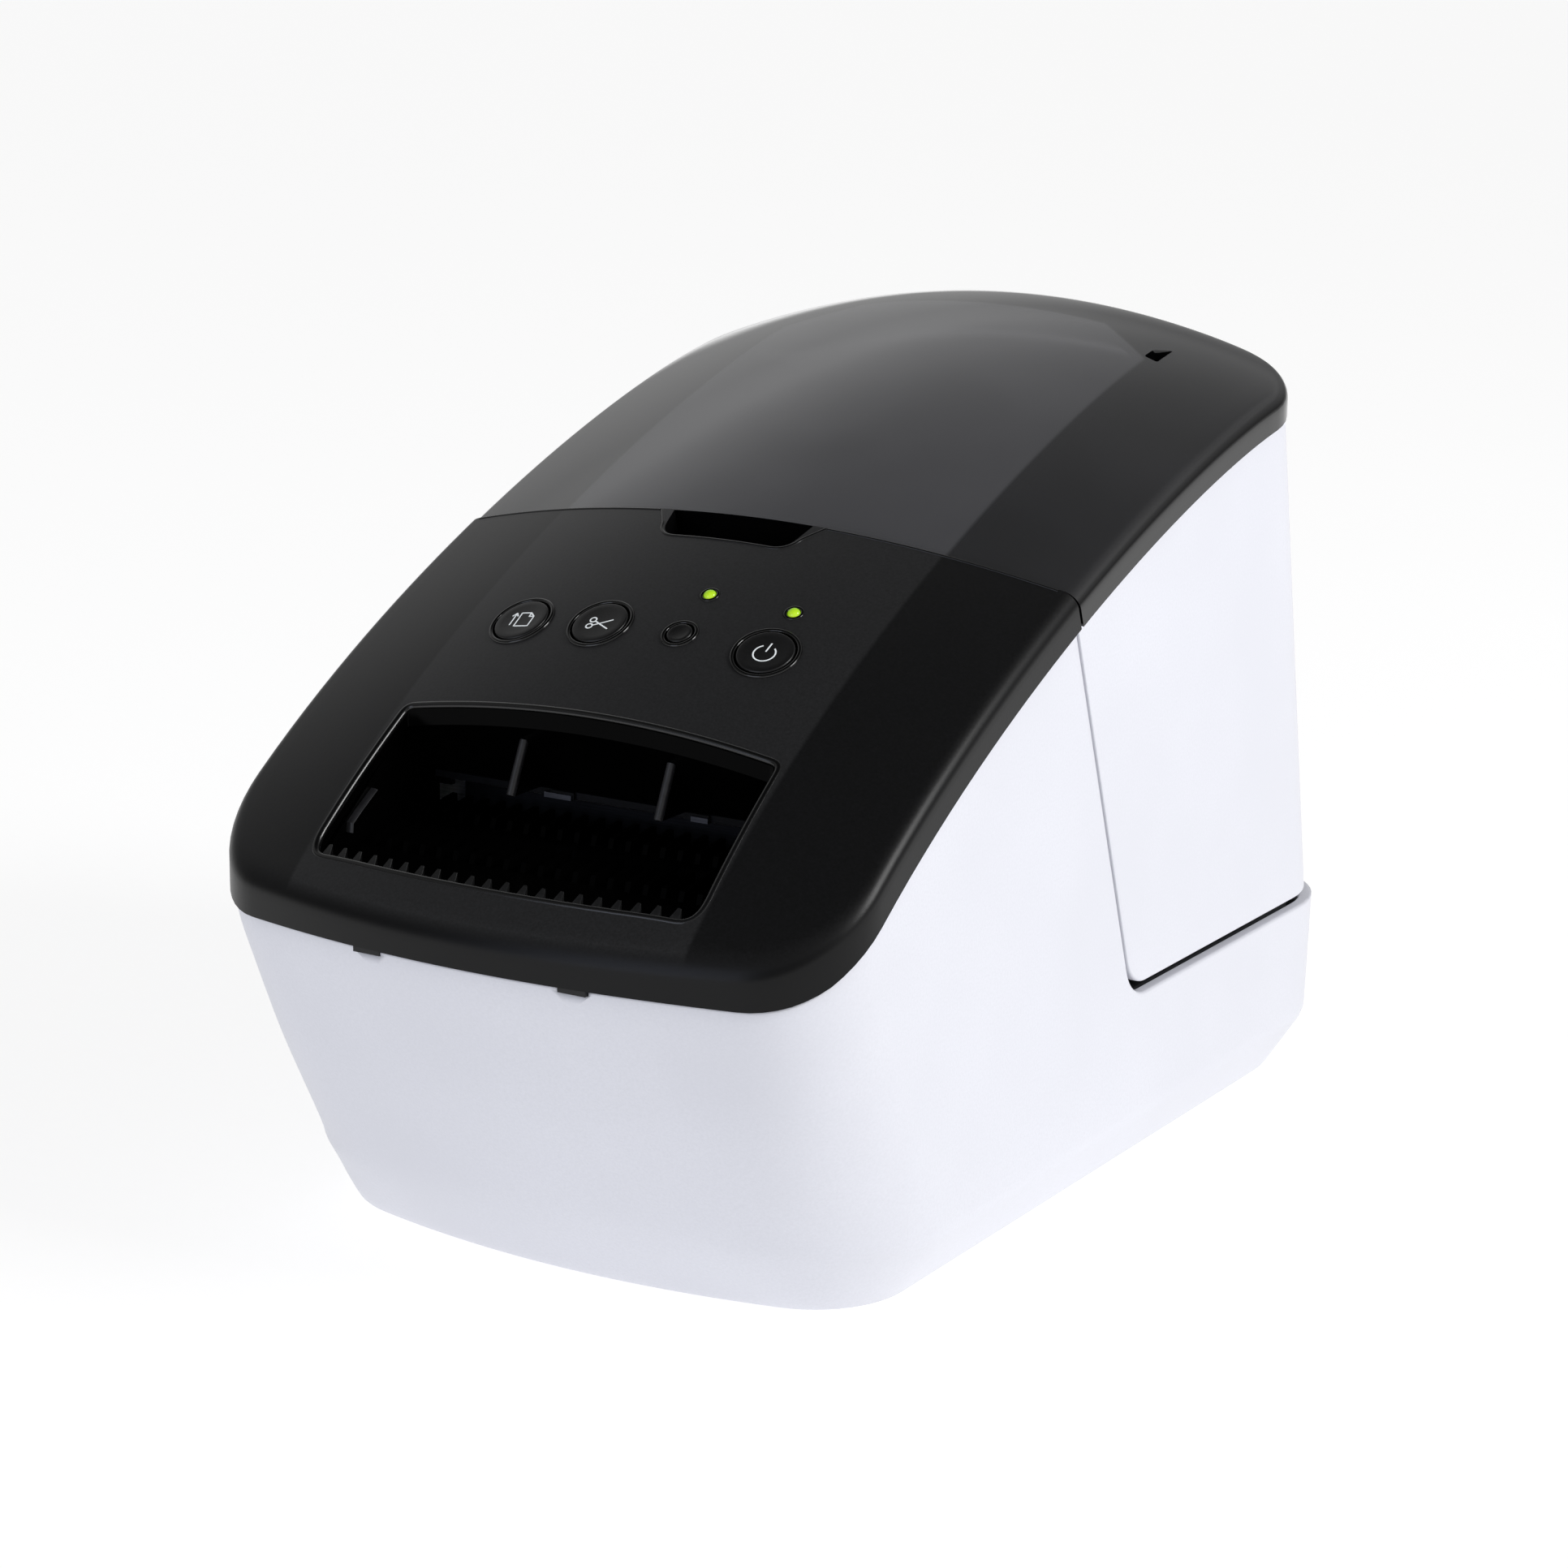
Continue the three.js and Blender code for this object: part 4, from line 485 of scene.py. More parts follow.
def read_table(table, heights, z):
    """Values of a table at one height for each row and column: between two heights it goes evenly."""
    spot = np.clip(np.searchsorted(heights, z) - 1, 0, len(heights) - 2)
    share = (z - heights[spot]) / (heights[spot + 1] - heights[spot])
    low, high = np.take_along_axis(table, spot, 1), np.take_along_axis(table, spot + 1, 1)
    return low + (high - low) * share


def seam_line(y, gap, rear_gap):
    """Side view of the lid's lower edge: a leaning line down to a round corner, and from there level to the
    rear."""
    low = SEAM["side_z"] - rear_gap
    radius, lean = SEAM["corner"] + gap, math.atan(SEAM["lean"])
    middle_y = SEAM["y"] - SEAM["lean"] * (low - SEAM["z"]) - gap + radius * math.tan(
        (math.pi / 2 - lean) / 2
    )
    line = SEAM["z"] + (SEAM["y"] - gap - y) / SEAM["lean"]
    arc = low + radius - np.sqrt(np.maximum(radius**2 - (np.minimum(y, middle_y) - middle_y) ** 2, 0))
    return np.where(y < middle_y - radius * math.cos(lean), line, np.where(y < middle_y, arc, low))


case_sides = np.concatenate([np.linspace(-48, -22, 7), np.linspace(-20, 14, 60), np.linspace(18, 72, 12)])
case_heights = np.concatenate([np.linspace(0, 16, 33), np.linspace(18, 70, 27), [120.0, 160.0]])
case_levels = {
    key: softened(case_heights, values, CREASE_REACH.get(key, 6.0)) for key, values in CASE_LEVELS.items()
}
case_outside = ring_table(case_levels, case_heights, 0.0, case_sides)
case_inside = ring_table(case_levels, case_heights, CASE_WALL, case_sides)


def on_case(z, inset):
    """Points of the case wall at heights z and depths inset under its outer face, between the outer and
    inner tables."""
    share = inset / CASE_WALL
    flat = [read_table(o, case_heights, z) * (1 - share) + read_table(i, case_heights, z) * share
            for o, i in zip(case_outside, case_inside)]
    return np.stack([*flat, z], -1)


rim_x, rim_y = case_outside[0][:, -3], case_outside[1][:, -3]
case_top = np.minimum(
    border_z(rim_x, rim_y, CAP["skirt"] + SKIRT_GAP), seam_line(rim_y, SEAM_GAP, SHELF_GAP)
)[:, None]
LIP, INNER_LIP = 0.6, 0.3
lip_turn = np.linspace(0, np.pi / 2, 5)
low_rows = np.concatenate([[0.7, 2.5, 5, 7.5], np.linspace(9, 15, 13), [17, 20, 24, 28]])
up_share = np.linspace(0, 1, 16)[1:]
outer_z = np.hstack([np.repeat(low_rows[None], len(rim_x), 0), 28 + (case_top - LIP - 28) * up_share])
lip_z = case_top - LIP * (1 - np.sin(lip_turn[1:]))
inner_z = case_top - INNER_LIP - (case_top - INNER_LIP - 0.7) * np.linspace(0, 1, 12)
under_z = np.repeat(np.array([[0.35, 0.0, 0.0, 0.2]]), len(rim_x), 0)
case_z = np.hstack([outer_z, lip_z, case_top, inner_z, under_z])
case_inset = np.concatenate([
    np.zeros(outer_z.shape[1]), LIP * (1 - np.cos(lip_turn[1:])), [CASE_WALL - INNER_LIP],
    np.full(inner_z.shape[1], CASE_WALL), [CASE_WALL - 0.1, CASE_WALL - 0.5, 0.6, 0.18],
])[None, :] + np.zeros_like(case_z)
white_case = piece("white_case", [(on_case(case_z, case_inset), True, True)])
HULL = dict(top=36, levels=19, inset=0.02)


def case_block(x, y, z):
    """A block, kept only where it lies inside the case's outer face."""
    levels = np.tile(np.linspace(0, HULL["top"], HULL["levels"]), (len(rim_x), 1))
    rings = on_case(levels, np.full_like(levels, HULL["inset"]))
    centre = rings.mean(0, keepdims=True) + np.zeros_like(rings)
    closed = np.concatenate([centre[:, :1], rings, centre[:, -1:]], 1)
    return cut(piece("block", [box(x, y, z)]), piece("hull", [(closed, True, False)]), "INTERSECT")


SHELF = dict(top=35.2, thickness=2.2, front=87.5)
BAY = dict(left=-46.0, right=40.0, low=7.0, high=30.0, face=102.4)
cut(
    white_case,
    case_block((-70, 70), (SHELF["front"], 130), (SHELF["top"] - SHELF["thickness"], SHELF["top"] - 0.02)),
    "UNION",
)
cut(
    white_case,
    case_block(
        (BAY["left"] - CASE_WALL, BAY["right"] + CASE_WALL),
        (BAY["face"] - CASE_WALL, 130),
        (BAY["low"] - CASE_WALL, BAY["high"] + CASE_WALL),
    ),
    "UNION",
)
bay_ring = rounded(
    [
        (BAY["left"], BAY["low"]), (BAY["right"], BAY["low"]), (BAY["right"], BAY["high"]),
        (BAY["left"], BAY["high"]),
    ],
    1.5,
)
cut(white_case, piece("bay", [drawn(bay_ring, "y", BAY["face"], 140, KNIFE_EDGE)]))
SOCKETS = (dict(x=-29.0, half=11.0, low=9.9, high=23.9), dict(x=26.0, half=6.2, low=9.9, high=21.3))
SOCKET_GAP, SOCKET_REACH = 0.1, 6
for socket in SOCKETS:
    across = (socket["x"] - socket["half"] - SOCKET_GAP, socket["x"] + socket["half"] + SOCKET_GAP)
    upright = (socket["low"] - SOCKET_GAP, socket["high"] + SOCKET_GAP)
    cut(
        white_case,
        piece("socket", [box(across, (BAY["face"] - SOCKET_REACH, BAY["face"] + SOCKET_REACH), upright)]),
    )
RIM_SLOT = dict(x=20.5, half=2.8, depth=1.3, high=0.9)
clip_grids = []
rim_half, rim_front, rim_bow = (CASE_LEVELS[key][-1] for key in ("half", "front", "bow"))
for side in (-1, 1):
    x = side * RIM_SLOT["x"]
    face = -(rim_front + rim_bow * (1 - (x / rim_half) ** 2))
    rim_z = float(border_z(x, face, CAP["skirt"] + SKIRT_GAP))
    cut(
        white_case,
        piece(
            "rim_slot",
            [
                box(
                    (x - RIM_SLOT["half"], x + RIM_SLOT["half"]),
                    (face - 3, face + RIM_SLOT["depth"]),
                    (rim_z - RIM_SLOT["high"], rim_z + 3),
                )
            ],
        ),
    )
    clip_grids.append(
        box(
            (x - RIM_SLOT["half"] + 0.1, x + RIM_SLOT["half"] - 0.1),
            (face + 0.25, face + RIM_SLOT["depth"] - 0.1),
            (rim_z - RIM_SLOT["high"] + 0.05, rim_z + 0.8),
        )
    )
cap_clips = piece("cap_clips", clip_grids)
print(
    "white case:", len(white_case.data.polygons), "faces, from", round(float(case_top.min()), 1), "to",
    round(float(case_top.max()), 1), "mm",
)

# %% [markdown]
# The lid's white shell is the same kind of wall, but it is open in front: the loop starts at a point where
# the leaning seam meets the cap's border, runs back along the right side, round the rear wall and forward
# again on the left. Its rear wall leans forward as it rises.

# %% The white shell of the lid
LID_LOW, LID_HIGH, LID_HALF = 20, 170, 62.5
LID_REAR = dict(foot=103.3, lean=30.6, corner=21, tightening=1.5)
lid_heights = np.linspace(LID_LOW, LID_HIGH, 16)
lid_share = (lid_heights - LID_LOW) / (LID_HIGH - LID_LOW)
lid_levels = dict(
    half=LID_HALF,
    front=99.3,
    bow=CAP["bow"],
    corner=19.1,
    rear=LID_REAR["foot"] - LID_REAR["lean"] * lid_share,
    rear_bow=0.0,
    rear_corner=LID_REAR["corner"] - LID_REAR["tightening"] * lid_share,
)
try_y = np.linspace(-30, 10, 8001)
tip_y = float(try_y[np.argmax(border_z(LID_HALF, try_y, CAP["skirt"] + SKIRT_GAP) > seam_line(try_y, 0, 0))])
lid_sides = np.concatenate([np.linspace(tip_y, tip_y + 34, 58), np.linspace(tip_y + 38, 56, 10)])
lid_outside = ring_table(lid_levels, lid_heights, 0.0, lid_sides)
lid_inside = ring_table(lid_levels, lid_heights, LID_WALL, lid_sides)
first_row = BOW_STEPS + ARC_STEPS + 1
ribbon = slice(first_row, len(lid_outside[0]) - first_row + 1)
lid_outside = [t[ribbon] for t in lid_outside]
lid_inside = [t[ribbon] for t in lid_inside]


def on_lid(z, inset):
    """Points of the lid's wall at heights z and depths inset under its outer face."""
    share = inset / LID_WALL
    flat = [read_table(o, lid_heights, z) * (1 - share) + read_table(i, lid_heights, z) * share
            for o, i in zip(lid_outside, lid_inside)]
    return np.stack([*flat, z], -1)


FIRST_GUESS = 140.0
lid_top = np.full((len(lid_outside[0]), 1), FIRST_GUESS)
for _ in range(SETTLING_ROUNDS):
    rim = on_lid(lid_top, np.zeros_like(lid_top))[:, 0]
    lid_top = border_z(rim[:, 0], np.minimum(rim[:, 1], CAP["rear"]), CAP["skirt"] + SKIRT_GAP)[:, None]
lid_low = np.minimum(seam_line(rim[:, 1], 0, 0)[:, None], lid_top)
lid_lip = np.minimum(LIP, (lid_top - lid_low) / 4)
lip_inset = LIP * (1 - np.cos(lip_turn[1:]))[None, :] * (lid_lip / LIP)
rise = np.linspace(0, 1, 18)
lid_z = np.hstack(
    [
        lid_low + lid_lip * (1 - np.sin(lip_turn[:0:-1])),
        lid_low + lid_lip + (lid_top - lid_low - 2 * lid_lip) * rise,
        lid_top - lid_lip * (1 - np.sin(lip_turn[1:])),
        lid_top,
        lid_top - lid_lip / 2 - (lid_top - lid_low - lid_lip) * rise,
        lid_low,
    ]
)
lid_inset = np.hstack([
    lip_inset[:, ::-1], 0 * rise + 0 * lid_low, lip_inset, LID_WALL - INNER_LIP + 0 * lid_low,
    LID_WALL + 0 * rise + 0 * lid_low, LID_WALL - INNER_LIP + 0 * lid_low,
])
white_lid = piece("white_lid_shell", [(on_lid(lid_z, lid_inset), False, True)])
print("lid shell: tip at", round(tip_y, 1), "mm,", len(white_lid.data.polygons), "faces")

# %% [markdown]
# The hinge has a barrel on the case and a barrel on the lid at each side, in line on one steel pin. A
# barrel is a drawn ring with a stalk under it, and the lid's wall has a window round each barrel of the
# case.

# %% Barrels of the hinge
HINGE = dict(y=96.6, z=41.0, pin=1.5, barrel=3.4, inner=29.0, outer=37.3, ear_inner=37.6, ear_outer=41.6,
             stalk=34.0, window=30.0, play=0.3, bore=60)
hinge_place = (HINGE["y"], HINGE["z"])


def keyhole(radius, foot_z, half):
    """A barrel seen from the side: an arc over the top, and a stalk that runs straight down."""
    angle = np.linspace(0, np.pi, 25)
    over = np.stack([HINGE["y"] + radius * np.cos(angle), HINGE["z"] + radius * np.sin(angle)], 1)
    return np.vstack([over, [(HINGE["y"] - half, foot_z), (HINGE["y"] + half, foot_z)]])


for side in (-1, 1):
    inner, outer = sorted((side * HINGE["inner"], side * HINGE["outer"]))
    cut(
        white_case,
        piece(
            "barrel", [drawn(keyhole(HINGE["barrel"], HINGE["stalk"], HINGE["barrel"]), "x", inner, outer)]
        ),
        "UNION",
    )
    inner, outer = sorted((side * (HINGE["inner"] - SEAM_GAP), side * HINGE["ear_inner"]))
    cut(
        white_lid,
        piece(
            "window",
            [
                drawn(
                    keyhole(HINGE["barrel"] + SEAM_GAP, HINGE["window"], HINGE["barrel"] + SEAM_GAP),
                    "x",
                    inner,
                    outer,
                    KNIFE_EDGE,
                )
            ],
        ),
    )
    inner, outer = sorted((side * HINGE["ear_inner"], side * HINGE["ear_outer"]))
    cut(white_lid, piece("ear", [drawn(circle(hinge_place, HINGE["barrel"]), "x", inner, outer)]), "UNION")
pin_hole = circle(hinge_place, HINGE["pin"] + HINGE["play"])
for thing in (white_case, white_lid):
    cut(thing, piece("bore", [drawn(pin_hole, "x", -HINGE["bore"], HINGE["bore"], KNIFE_EDGE)]))
print("hinge barrels stand", HINGE["barrel"] * 2, "mm thick on a pin of", HINGE["pin"] * 2, "mm")

# %% [markdown]
# The cap is the black upper face: one rounded slab, split by a leaning seam into the fixed control panel
# and the lid's clear cover. Making the whole slab and then parting it along the seam makes the two halves
# run on into each other, as they do on the real one, where only the lid lies a little lower than the panel.

# %% The cap, the seam and the smoked cover
LID_DROP = 0.6
SEAM_REACH = HALF_WIDTH + 6


def cap_block(drop=0.0):
    """The whole cap: the skirt, a quarter round of 2.6 mm over its edge, and the crowned top, lowered by
    the drop."""
    return piece(
        "cap",
        slab(
            cap_outline, lambda x, y: border_z(x, y, CAP["skirt"]), lambda x, y: top_z(x, y, drop), CAP_EDGE
        ),
    )


def cap_hollow(thickness, drop=0.0, floor_z=20.0):
    """All that lies under the cap's skin of the given thickness."""
    return piece("hollow", slab(lambda inset: cap_outline(inset + thickness), lambda x, y: floor_z + 0 * x,
                                lambda x, y: top_z(x, y, thickness + drop)))


def seam_y(x, z, shift):
    """The seam at a height: y = seam + shift - bow (1 - (x / reach)^2) - lean (z - seam height)."""
    return SEAM["y"] + shift - SEAM["bow"] * (1 - (x / SEAM_REACH) ** 2) - SEAM["lean"] * (z - SEAM["z"])


SHEET = dict(columns=61, heights=(-20.0, 60.0, 118.0, 240.0), front=-260.0)


def ahead_of_seam(shift):
    """All in front of the seam: a sheet along the seam, moved by the shift, and a block before it."""
    x = np.concatenate([np.linspace(SEAM_REACH, -SEAM_REACH, SHEET["columns"]), [-SEAM_REACH, SEAM_REACH]])
    z = np.array(SHEET["heights"])
    y = np.vstack([seam_y(x[:-2, None], z, shift), np.full((2, len(z)), SHEET["front"])])
    grid = np.stack(np.broadcast_arrays(x[:, None], y, z[None, :]), -1)
    ends = [np.broadcast_to(grid[:, k].mean(0), (len(x), 3))[:, None] for k in (0, -1)]
    return piece("ahead", [(np.concatenate([ends[0], grid, ends[1]], 1), True, False)])


smoked_cover = cut(cap_block(LID_DROP), ahead_of_seam(SEAM_GAP / 2))
cut(smoked_cover, cut(cap_hollow(COVER_WALL, LID_DROP), ahead_of_seam(SEAM_GAP / 2 + COVER_WALL)))
COVER_SLOT = [(38.9, 52.0), (41.9, 51.4), (41.9, 58.2), (38.9, 55.6)]
cut(smoked_cover, piece("slot", [drawn(rounded(COVER_SLOT, 0.6), "z", 100, 200, KNIFE_EDGE)]))
smooth(smoked_cover.data)
smoked_cover.name = "smoked_lid_cover"
print("smoked cover:", len(smoked_cover.data.polygons), "faces")

# %% [markdown]
# Under the clear cover lies a black frame with a wide window over the label roll. The window's rim bounds
# the lid's lighter field: light falls through the cover there onto the roll, and the field is also painted
# light in the cover's window tone.

# %% The frame under the cover
FRAME_WALL, FRAME_GAP, FRAME_INSET = 1.6, 0.3, 0.4
WINDOW = dict(half=41.0, front=-17.0, rear=60.0, corner_x=12.0, corner_y=9.0)
frame_top = LID_DROP + COVER_WALL + FRAME_GAP
frame_low = frame_top + FRAME_WALL
inner_frame = piece(
    "inner_frame",
    slab(
        lambda inset: cap_outline(inset + COVER_WALL + FRAME_INSET),
        lambda x, y: top_z(x, y, frame_low),
        lambda x, y: top_z(x, y, frame_top),
        skirt_rows=2,
    ),
)
cut(inner_frame, ahead_of_seam(SEAM_GAP / 2 + COVER_WALL + FRAME_INSET))
w = WINDOW
window_ring = rounded(
    [
        (-w["half"], w["front"]),
        (w["half"], w["front"]),
        (w["half"], w["rear"] - w["corner_y"]),
        (w["half"] - w["corner_x"], w["rear"]),
        (w["corner_x"] - w["half"], w["rear"]),
        (-w["half"], w["rear"] - w["corner_y"]),
    ],
    (3, 3, 5, 5, 5, 5),
)
cut(inner_frame, piece("window", [drawn(window_ring, "z", 60, 200, KNIFE_EDGE)]))
print("inner frame:", len(inner_frame.data.polygons), "faces, window", w["half"] * 2, "mm wide")

# %% [markdown]
# The control panel is the front part of the cap. The mouth for the labels, the round holes for keys and
# lamps and the finger notch at the seam are cut through its skin, and the notch gets a pocket under it.

# %% The front panel
PANEL_WALL = 2.2
MOUTH = dict(half=38.4, top_half=37.5, top=-74.7, side=-100.0, bow=3.5, corner=3.2)
NOTCH = dict(half=17.0, low_half=13.0, front=-33.0, depth=7.0, wall=1.4, corner=3.2)
KEYS = dict(
    feed_button=(-26.5, 5.1), cut_button=(-10.0, 5.1), mode_button=(6.3, 2.3), power_button=(23.5, 5.1)
)
LAMPS = dict(status_lens=6.3, power_lens=23.2)
KEY_Y, LAMP_Y, LAMP_RADIUS, HOLE_GAP = -56.0, -46.6, 1.15, 0.3


def mouth_ring(grow=0.0, corner=None):
    """The mouth from above: straight sides, a bowed front edge and four rounded corners."""
    m = MOUTH
    x = np.linspace(-1, 1, 15)[1:-1] * (m["half"] - 4)
    front = np.stack([x, m["side"] - m["bow"] * (1 - (x / m["half"]) ** 2) - grow], 1)
    corners = np.vstack(
        [
            [(-m["half"] - grow, m["side"] - 0.25 - grow)],
            front,
            [(m["half"] + grow, m["side"] - 0.25 - grow)],
            [(m["top_half"] + grow, m["top"] + grow)],
            [(-m["top_half"] - grow, m["top"] + grow)],
        ]
    )
    radii = np.full(len(corners), 0.4)
    radii[0] = radii[len(front) + 1] = (corner or m["corner"]) + grow
    radii[-2:] = 1.2 + grow
    return rounded(corners, radii)


def notch_ring(grow, back):
    """The notch from above: it narrows from the seam to a front edge with round corners."""
    n = NOTCH
    return rounded(
        [
            (-n["half"] - grow, back),
            (-n["low_half"] - grow, n["front"] - grow),
            (n["low_half"] + grow, n["front"] - grow),
            (n["half"] + grow, back),
        ],
        (0.1, n["corner"] + grow, n["corner"] + grow, 0.1),
    )


def under_top(ring, low, high):
    """A block over a flat outline between two layers under the top."""
    middle = ring.mean(0)
    shares = np.linspace(0, 1, 7)
    inner = middle + (ring[:, None] - middle) * shares[None, :, None]
    rows = [
        np.concatenate([inner, top_z(inner[..., 0], inner[..., 1], depth)[..., None]], -1)
        for depth in (low, high)
    ]
    return np.concatenate([rows[0], rows[1][:, ::-1]], 1), True, False


def key_hole(x, y, radius):
    """A round bar square to the top, for cutting."""
    place = np.array([x, y, float(top_z(x, y))])
    return turned([(0, -8), (radius, -8), (radius, 6), (0, 6)], place, top_normal(x, y), 64)


panel = cut(cap_block(), ahead_of_seam(-SEAM_GAP / 2), "INTERSECT")
cut(panel, cut(cap_hollow(PANEL_WALL), ahead_of_seam(-SEAM_GAP / 2 - FRAME_WALL), "INTERSECT"))
pocket = cut(
    piece("pocket", [under_top(notch_ring(NOTCH["wall"], -16.0), NOTCH["depth"] + NOTCH["wall"], 1.1)]),
    ahead_of_seam(-SEAM_GAP / 2),
    "INTERSECT",
)
cut(panel, pocket, "UNION")
cut(panel, piece("notch", [under_top(notch_ring(0.0, -14.0), NOTCH["depth"], -8.0)]))
LINING = 0.6
cut(panel, piece("mouth", [drawn(mouth_ring(LINING - 0.05), "z", 20, 140, KNIFE_EDGE)]))
for x, radius in KEYS.values():
    cut(panel, piece("hole", [key_hole(x, KEY_Y, radius + HOLE_GAP)]))
for x in LAMPS.values():
    cut(panel, piece("hole", [key_hole(x, LAMP_Y, LAMP_RADIUS + HOLE_GAP)]))
smooth(panel.data)
panel.name = "control_panel"
print("control panel:", len(panel.data.polygons), "faces")

# %% [markdown]
# Four keys stand in round holes. Each is turned about the panel's own normal: a body with a rounded rim and
# a slightly hollow top, a flange that keeps it from falling out, and a stem down to its switch. A fine
# raised ring goes round each hole. The pictograms are thin printed lines, so each is a flat bead along a
# drawn path.

# %% Keys, rings and lamps
KEY = dict(proud=0.4, rim=0.35, dish=0.14, flange_top=-2.4, flange=1.0, stem=1.8, foot=-6.6)
KEY_RING = dict(start=0.3, width=0.8, base=0.0, proud=0.34, steps=9)
LAMP_RING = dict(start=0.03, width=0.64, base=0.02, proud=0.2, steps=7)
LAMP_DOME = dict(foot=-2.9, rim=-0.1, rise=0.85)
PRINT_WIDTH, RING_FOOT = 0.28, -1.0


def quarter_round(radius, at, steps=5):
    """A rim's quarter circle as (radius, height) pairs, from the side up to the top."""
    turn = np.linspace(0, np.pi / 2, steps)
    return [(at[0] - radius * (1 - c), at[1] - radius * (1 - s)) for c, s in zip(np.cos(turn), np.sin(turn))]


def key_profile(radius):
    """Half section of a key from its stem's foot to the middle of its top, whose hollow deepens with the
    square of the way in."""
    k = KEY
    inwards = np.linspace(1, 0, 6)[1:]
    top_radius = radius - k["rim"]
    hollow = [(top_radius * share, k["proud"] - k["dish"] * (1 - share**2)) for share in inwards]
    return [
        (0, k["foot"]),
        (k["stem"], k["foot"]),
        (k["stem"], k["flange_top"] - k["flange"]),
        (radius + k["flange"], k["flange_top"] - k["flange"]),
        (radius + k["flange"], k["flange_top"]),
        (radius, k["flange_top"]),
        *quarter_round(k["rim"], (radius, k["proud"])),
        *hollow,
    ]


def ring_profile(radius, start, width, base, proud, steps):
    """Half section of a raised ring: two legs, and over them half a circle drawn flat, base + proud sin a
    high."""
    start, half = radius + start, width / 2
    turn = np.linspace(0, np.pi, steps)
    hump = [(start + half - half * c, base + proud * s) for c, s in zip(np.cos(turn), np.sin(turn))]
    return [(start, RING_FOOT), *hump, (start + width, RING_FOOT)]


def panel_frame(x, y):
    """The point of the panel over (x, y) with its directions across, up the slope and outwards."""
    normal = top_normal(x, y)
    across = np.cross((0.0, 1.0, 0.0), normal)
    across /= np.linalg.norm(across)
    return np.array([x, y, float(top_z(x, y))]), across, np.cross(normal, across), normal


def on_key(x, radius, flat):
    """Flat drawing points in mm laid on a key's hollow top."""
    place, across, up, normal = panel_frame(x, KEY_Y)
    flat = np.asarray(flat, float)
    share = np.minimum(np.linalg.norm(flat, axis=1) / (radius - KEY["rim"]), 1)
    height = KEY["proud"] - KEY["dish"] * (1 - share**2) + 0.005
    return place + flat[:, :1] * across + flat[:, 1:] * up + height[:, None] * normal, np.repeat(
        normal[None], len(flat), 0
    )


def printed(x, radius, lines):
    """Flat beads along drawn lines: each line is (points, closed), and long straight parts are divided to
    follow the hollow."""
    grids = []
    for points, closed in lines:
        points = np.asarray(points, float)
        if closed:
            points = np.vstack([points, points[:1]])
        step = np.concatenate([[0], np.cumsum(np.linalg.norm(np.diff(points, axis=0), axis=1))])
        at = np.unique(np.concatenate([step, np.arange(0, step[-1], 0.25)]))
        line = np.stack([np.interp(at, step, points[:, k]) for k in (0, 1)], 1)
        path, normals = on_key(x, radius, line[:-1] if closed else line)
        grids.append(bead(path, normals, PRINT_WIDTH / 2, flat=0.12, closed=closed, sides=6))
    return grids


def arc_points(middle, radius, start, end, count=28):
    """Points along an arc, with its angles in degrees."""
    angle = np.radians(np.linspace(start, end, count))
    return np.stack([middle[0] + radius * np.cos(angle), middle[1] + radius * np.sin(angle)], 1)


PICTOGRAMS = {
    "feed_button": [
        ([(-1.8, -1.45), (-1.8, 1.75)], False),
        ([(-2.4, 0.95), (-1.8, 1.8), (-1.2, 0.95)], False),
        ([(-0.75, -1.7), (-0.75, 1.85), (1.2, 1.85), (2.2, 0.9), (2.2, -1.7)], True),
        ([(1.2, 1.85), (1.2, 0.9), (2.2, 0.9)], False),
    ],
    "cut_button": [
        (arc_points((-1.6, 0.55), 0.58, 0, 345), True),
        (arc_points((-1.6, -1.1), 0.58, 0, 345), True),
        ([(-1.1, 0.3), (2.35, -1.5)], False),
        ([(-1.1, -0.85), (2.35, 0.95)], False),
    ],
    "power_button": [(arc_points((0, -0.35), 1.95, 125, 415, 40), False), ([(0, 0.1), (0, 2.25)], False)],
}
KEY_BODIES = dict(
    feed_button="feed_key", cut_button="cut_key", mode_button="mode_key", power_button="power_key"
)

keys, prints, ring_grids = {}, {}, []
for name, (x, radius) in KEYS.items():
    place, across, up, normal = panel_frame(x, KEY_Y)
    keys[name] = piece(name.replace("_button", "_key_cap"), [turned(key_profile(radius), place, normal, 72)])
    if name in PICTOGRAMS:
        prints[name] = piece(name.replace("_button", "_pictogram"), printed(x, radius, PICTOGRAMS[name]), 60)
    ring_grids.append(turned_ring(ring_profile(radius, **KEY_RING), place, normal, 72))
lamps = {}
for name, x in LAMPS.items():
    place, across, up, normal = panel_frame(x, LAMP_Y)
    dome = [
        (LAMP_RADIUS * math.cos(a), LAMP_DOME["rim"] + LAMP_DOME["rise"] * math.sin(a))
        for a in np.linspace(0, np.pi / 2, 7)
    ]
    stem = [(0, LAMP_DOME["foot"]), (LAMP_RADIUS, LAMP_DOME["foot"])]
    lamps[name] = piece(name.replace("_lens", "_lamp"), [turned([*stem, *dome], place, normal, 32)])
    ring_grids.append(turned_ring(ring_profile(LAMP_RADIUS, **LAMP_RING), place, normal, 40))
rings = piece("key_and_lamp_rings", ring_grids)
print("keys:", list(keys), "pictograms:", len(prints))

# %% [markdown]
# Real mouldings have no knife edges. The mouth, the notch and the panel's edge at the seam each have a
# small round, and on black plastic those rounds are what the eye sees, as thin bright lines. Here each one
# is a fine bead laid along the edge and sunk into it, which is quicker and cleaner than bevelling a cut
# mesh.

# %% Rounded edges of the mouth, the notch and the seam
EDGE_BEAD, SEAM_SIDE, SEAM_ROUNDS = 0.75, 60.5, 12


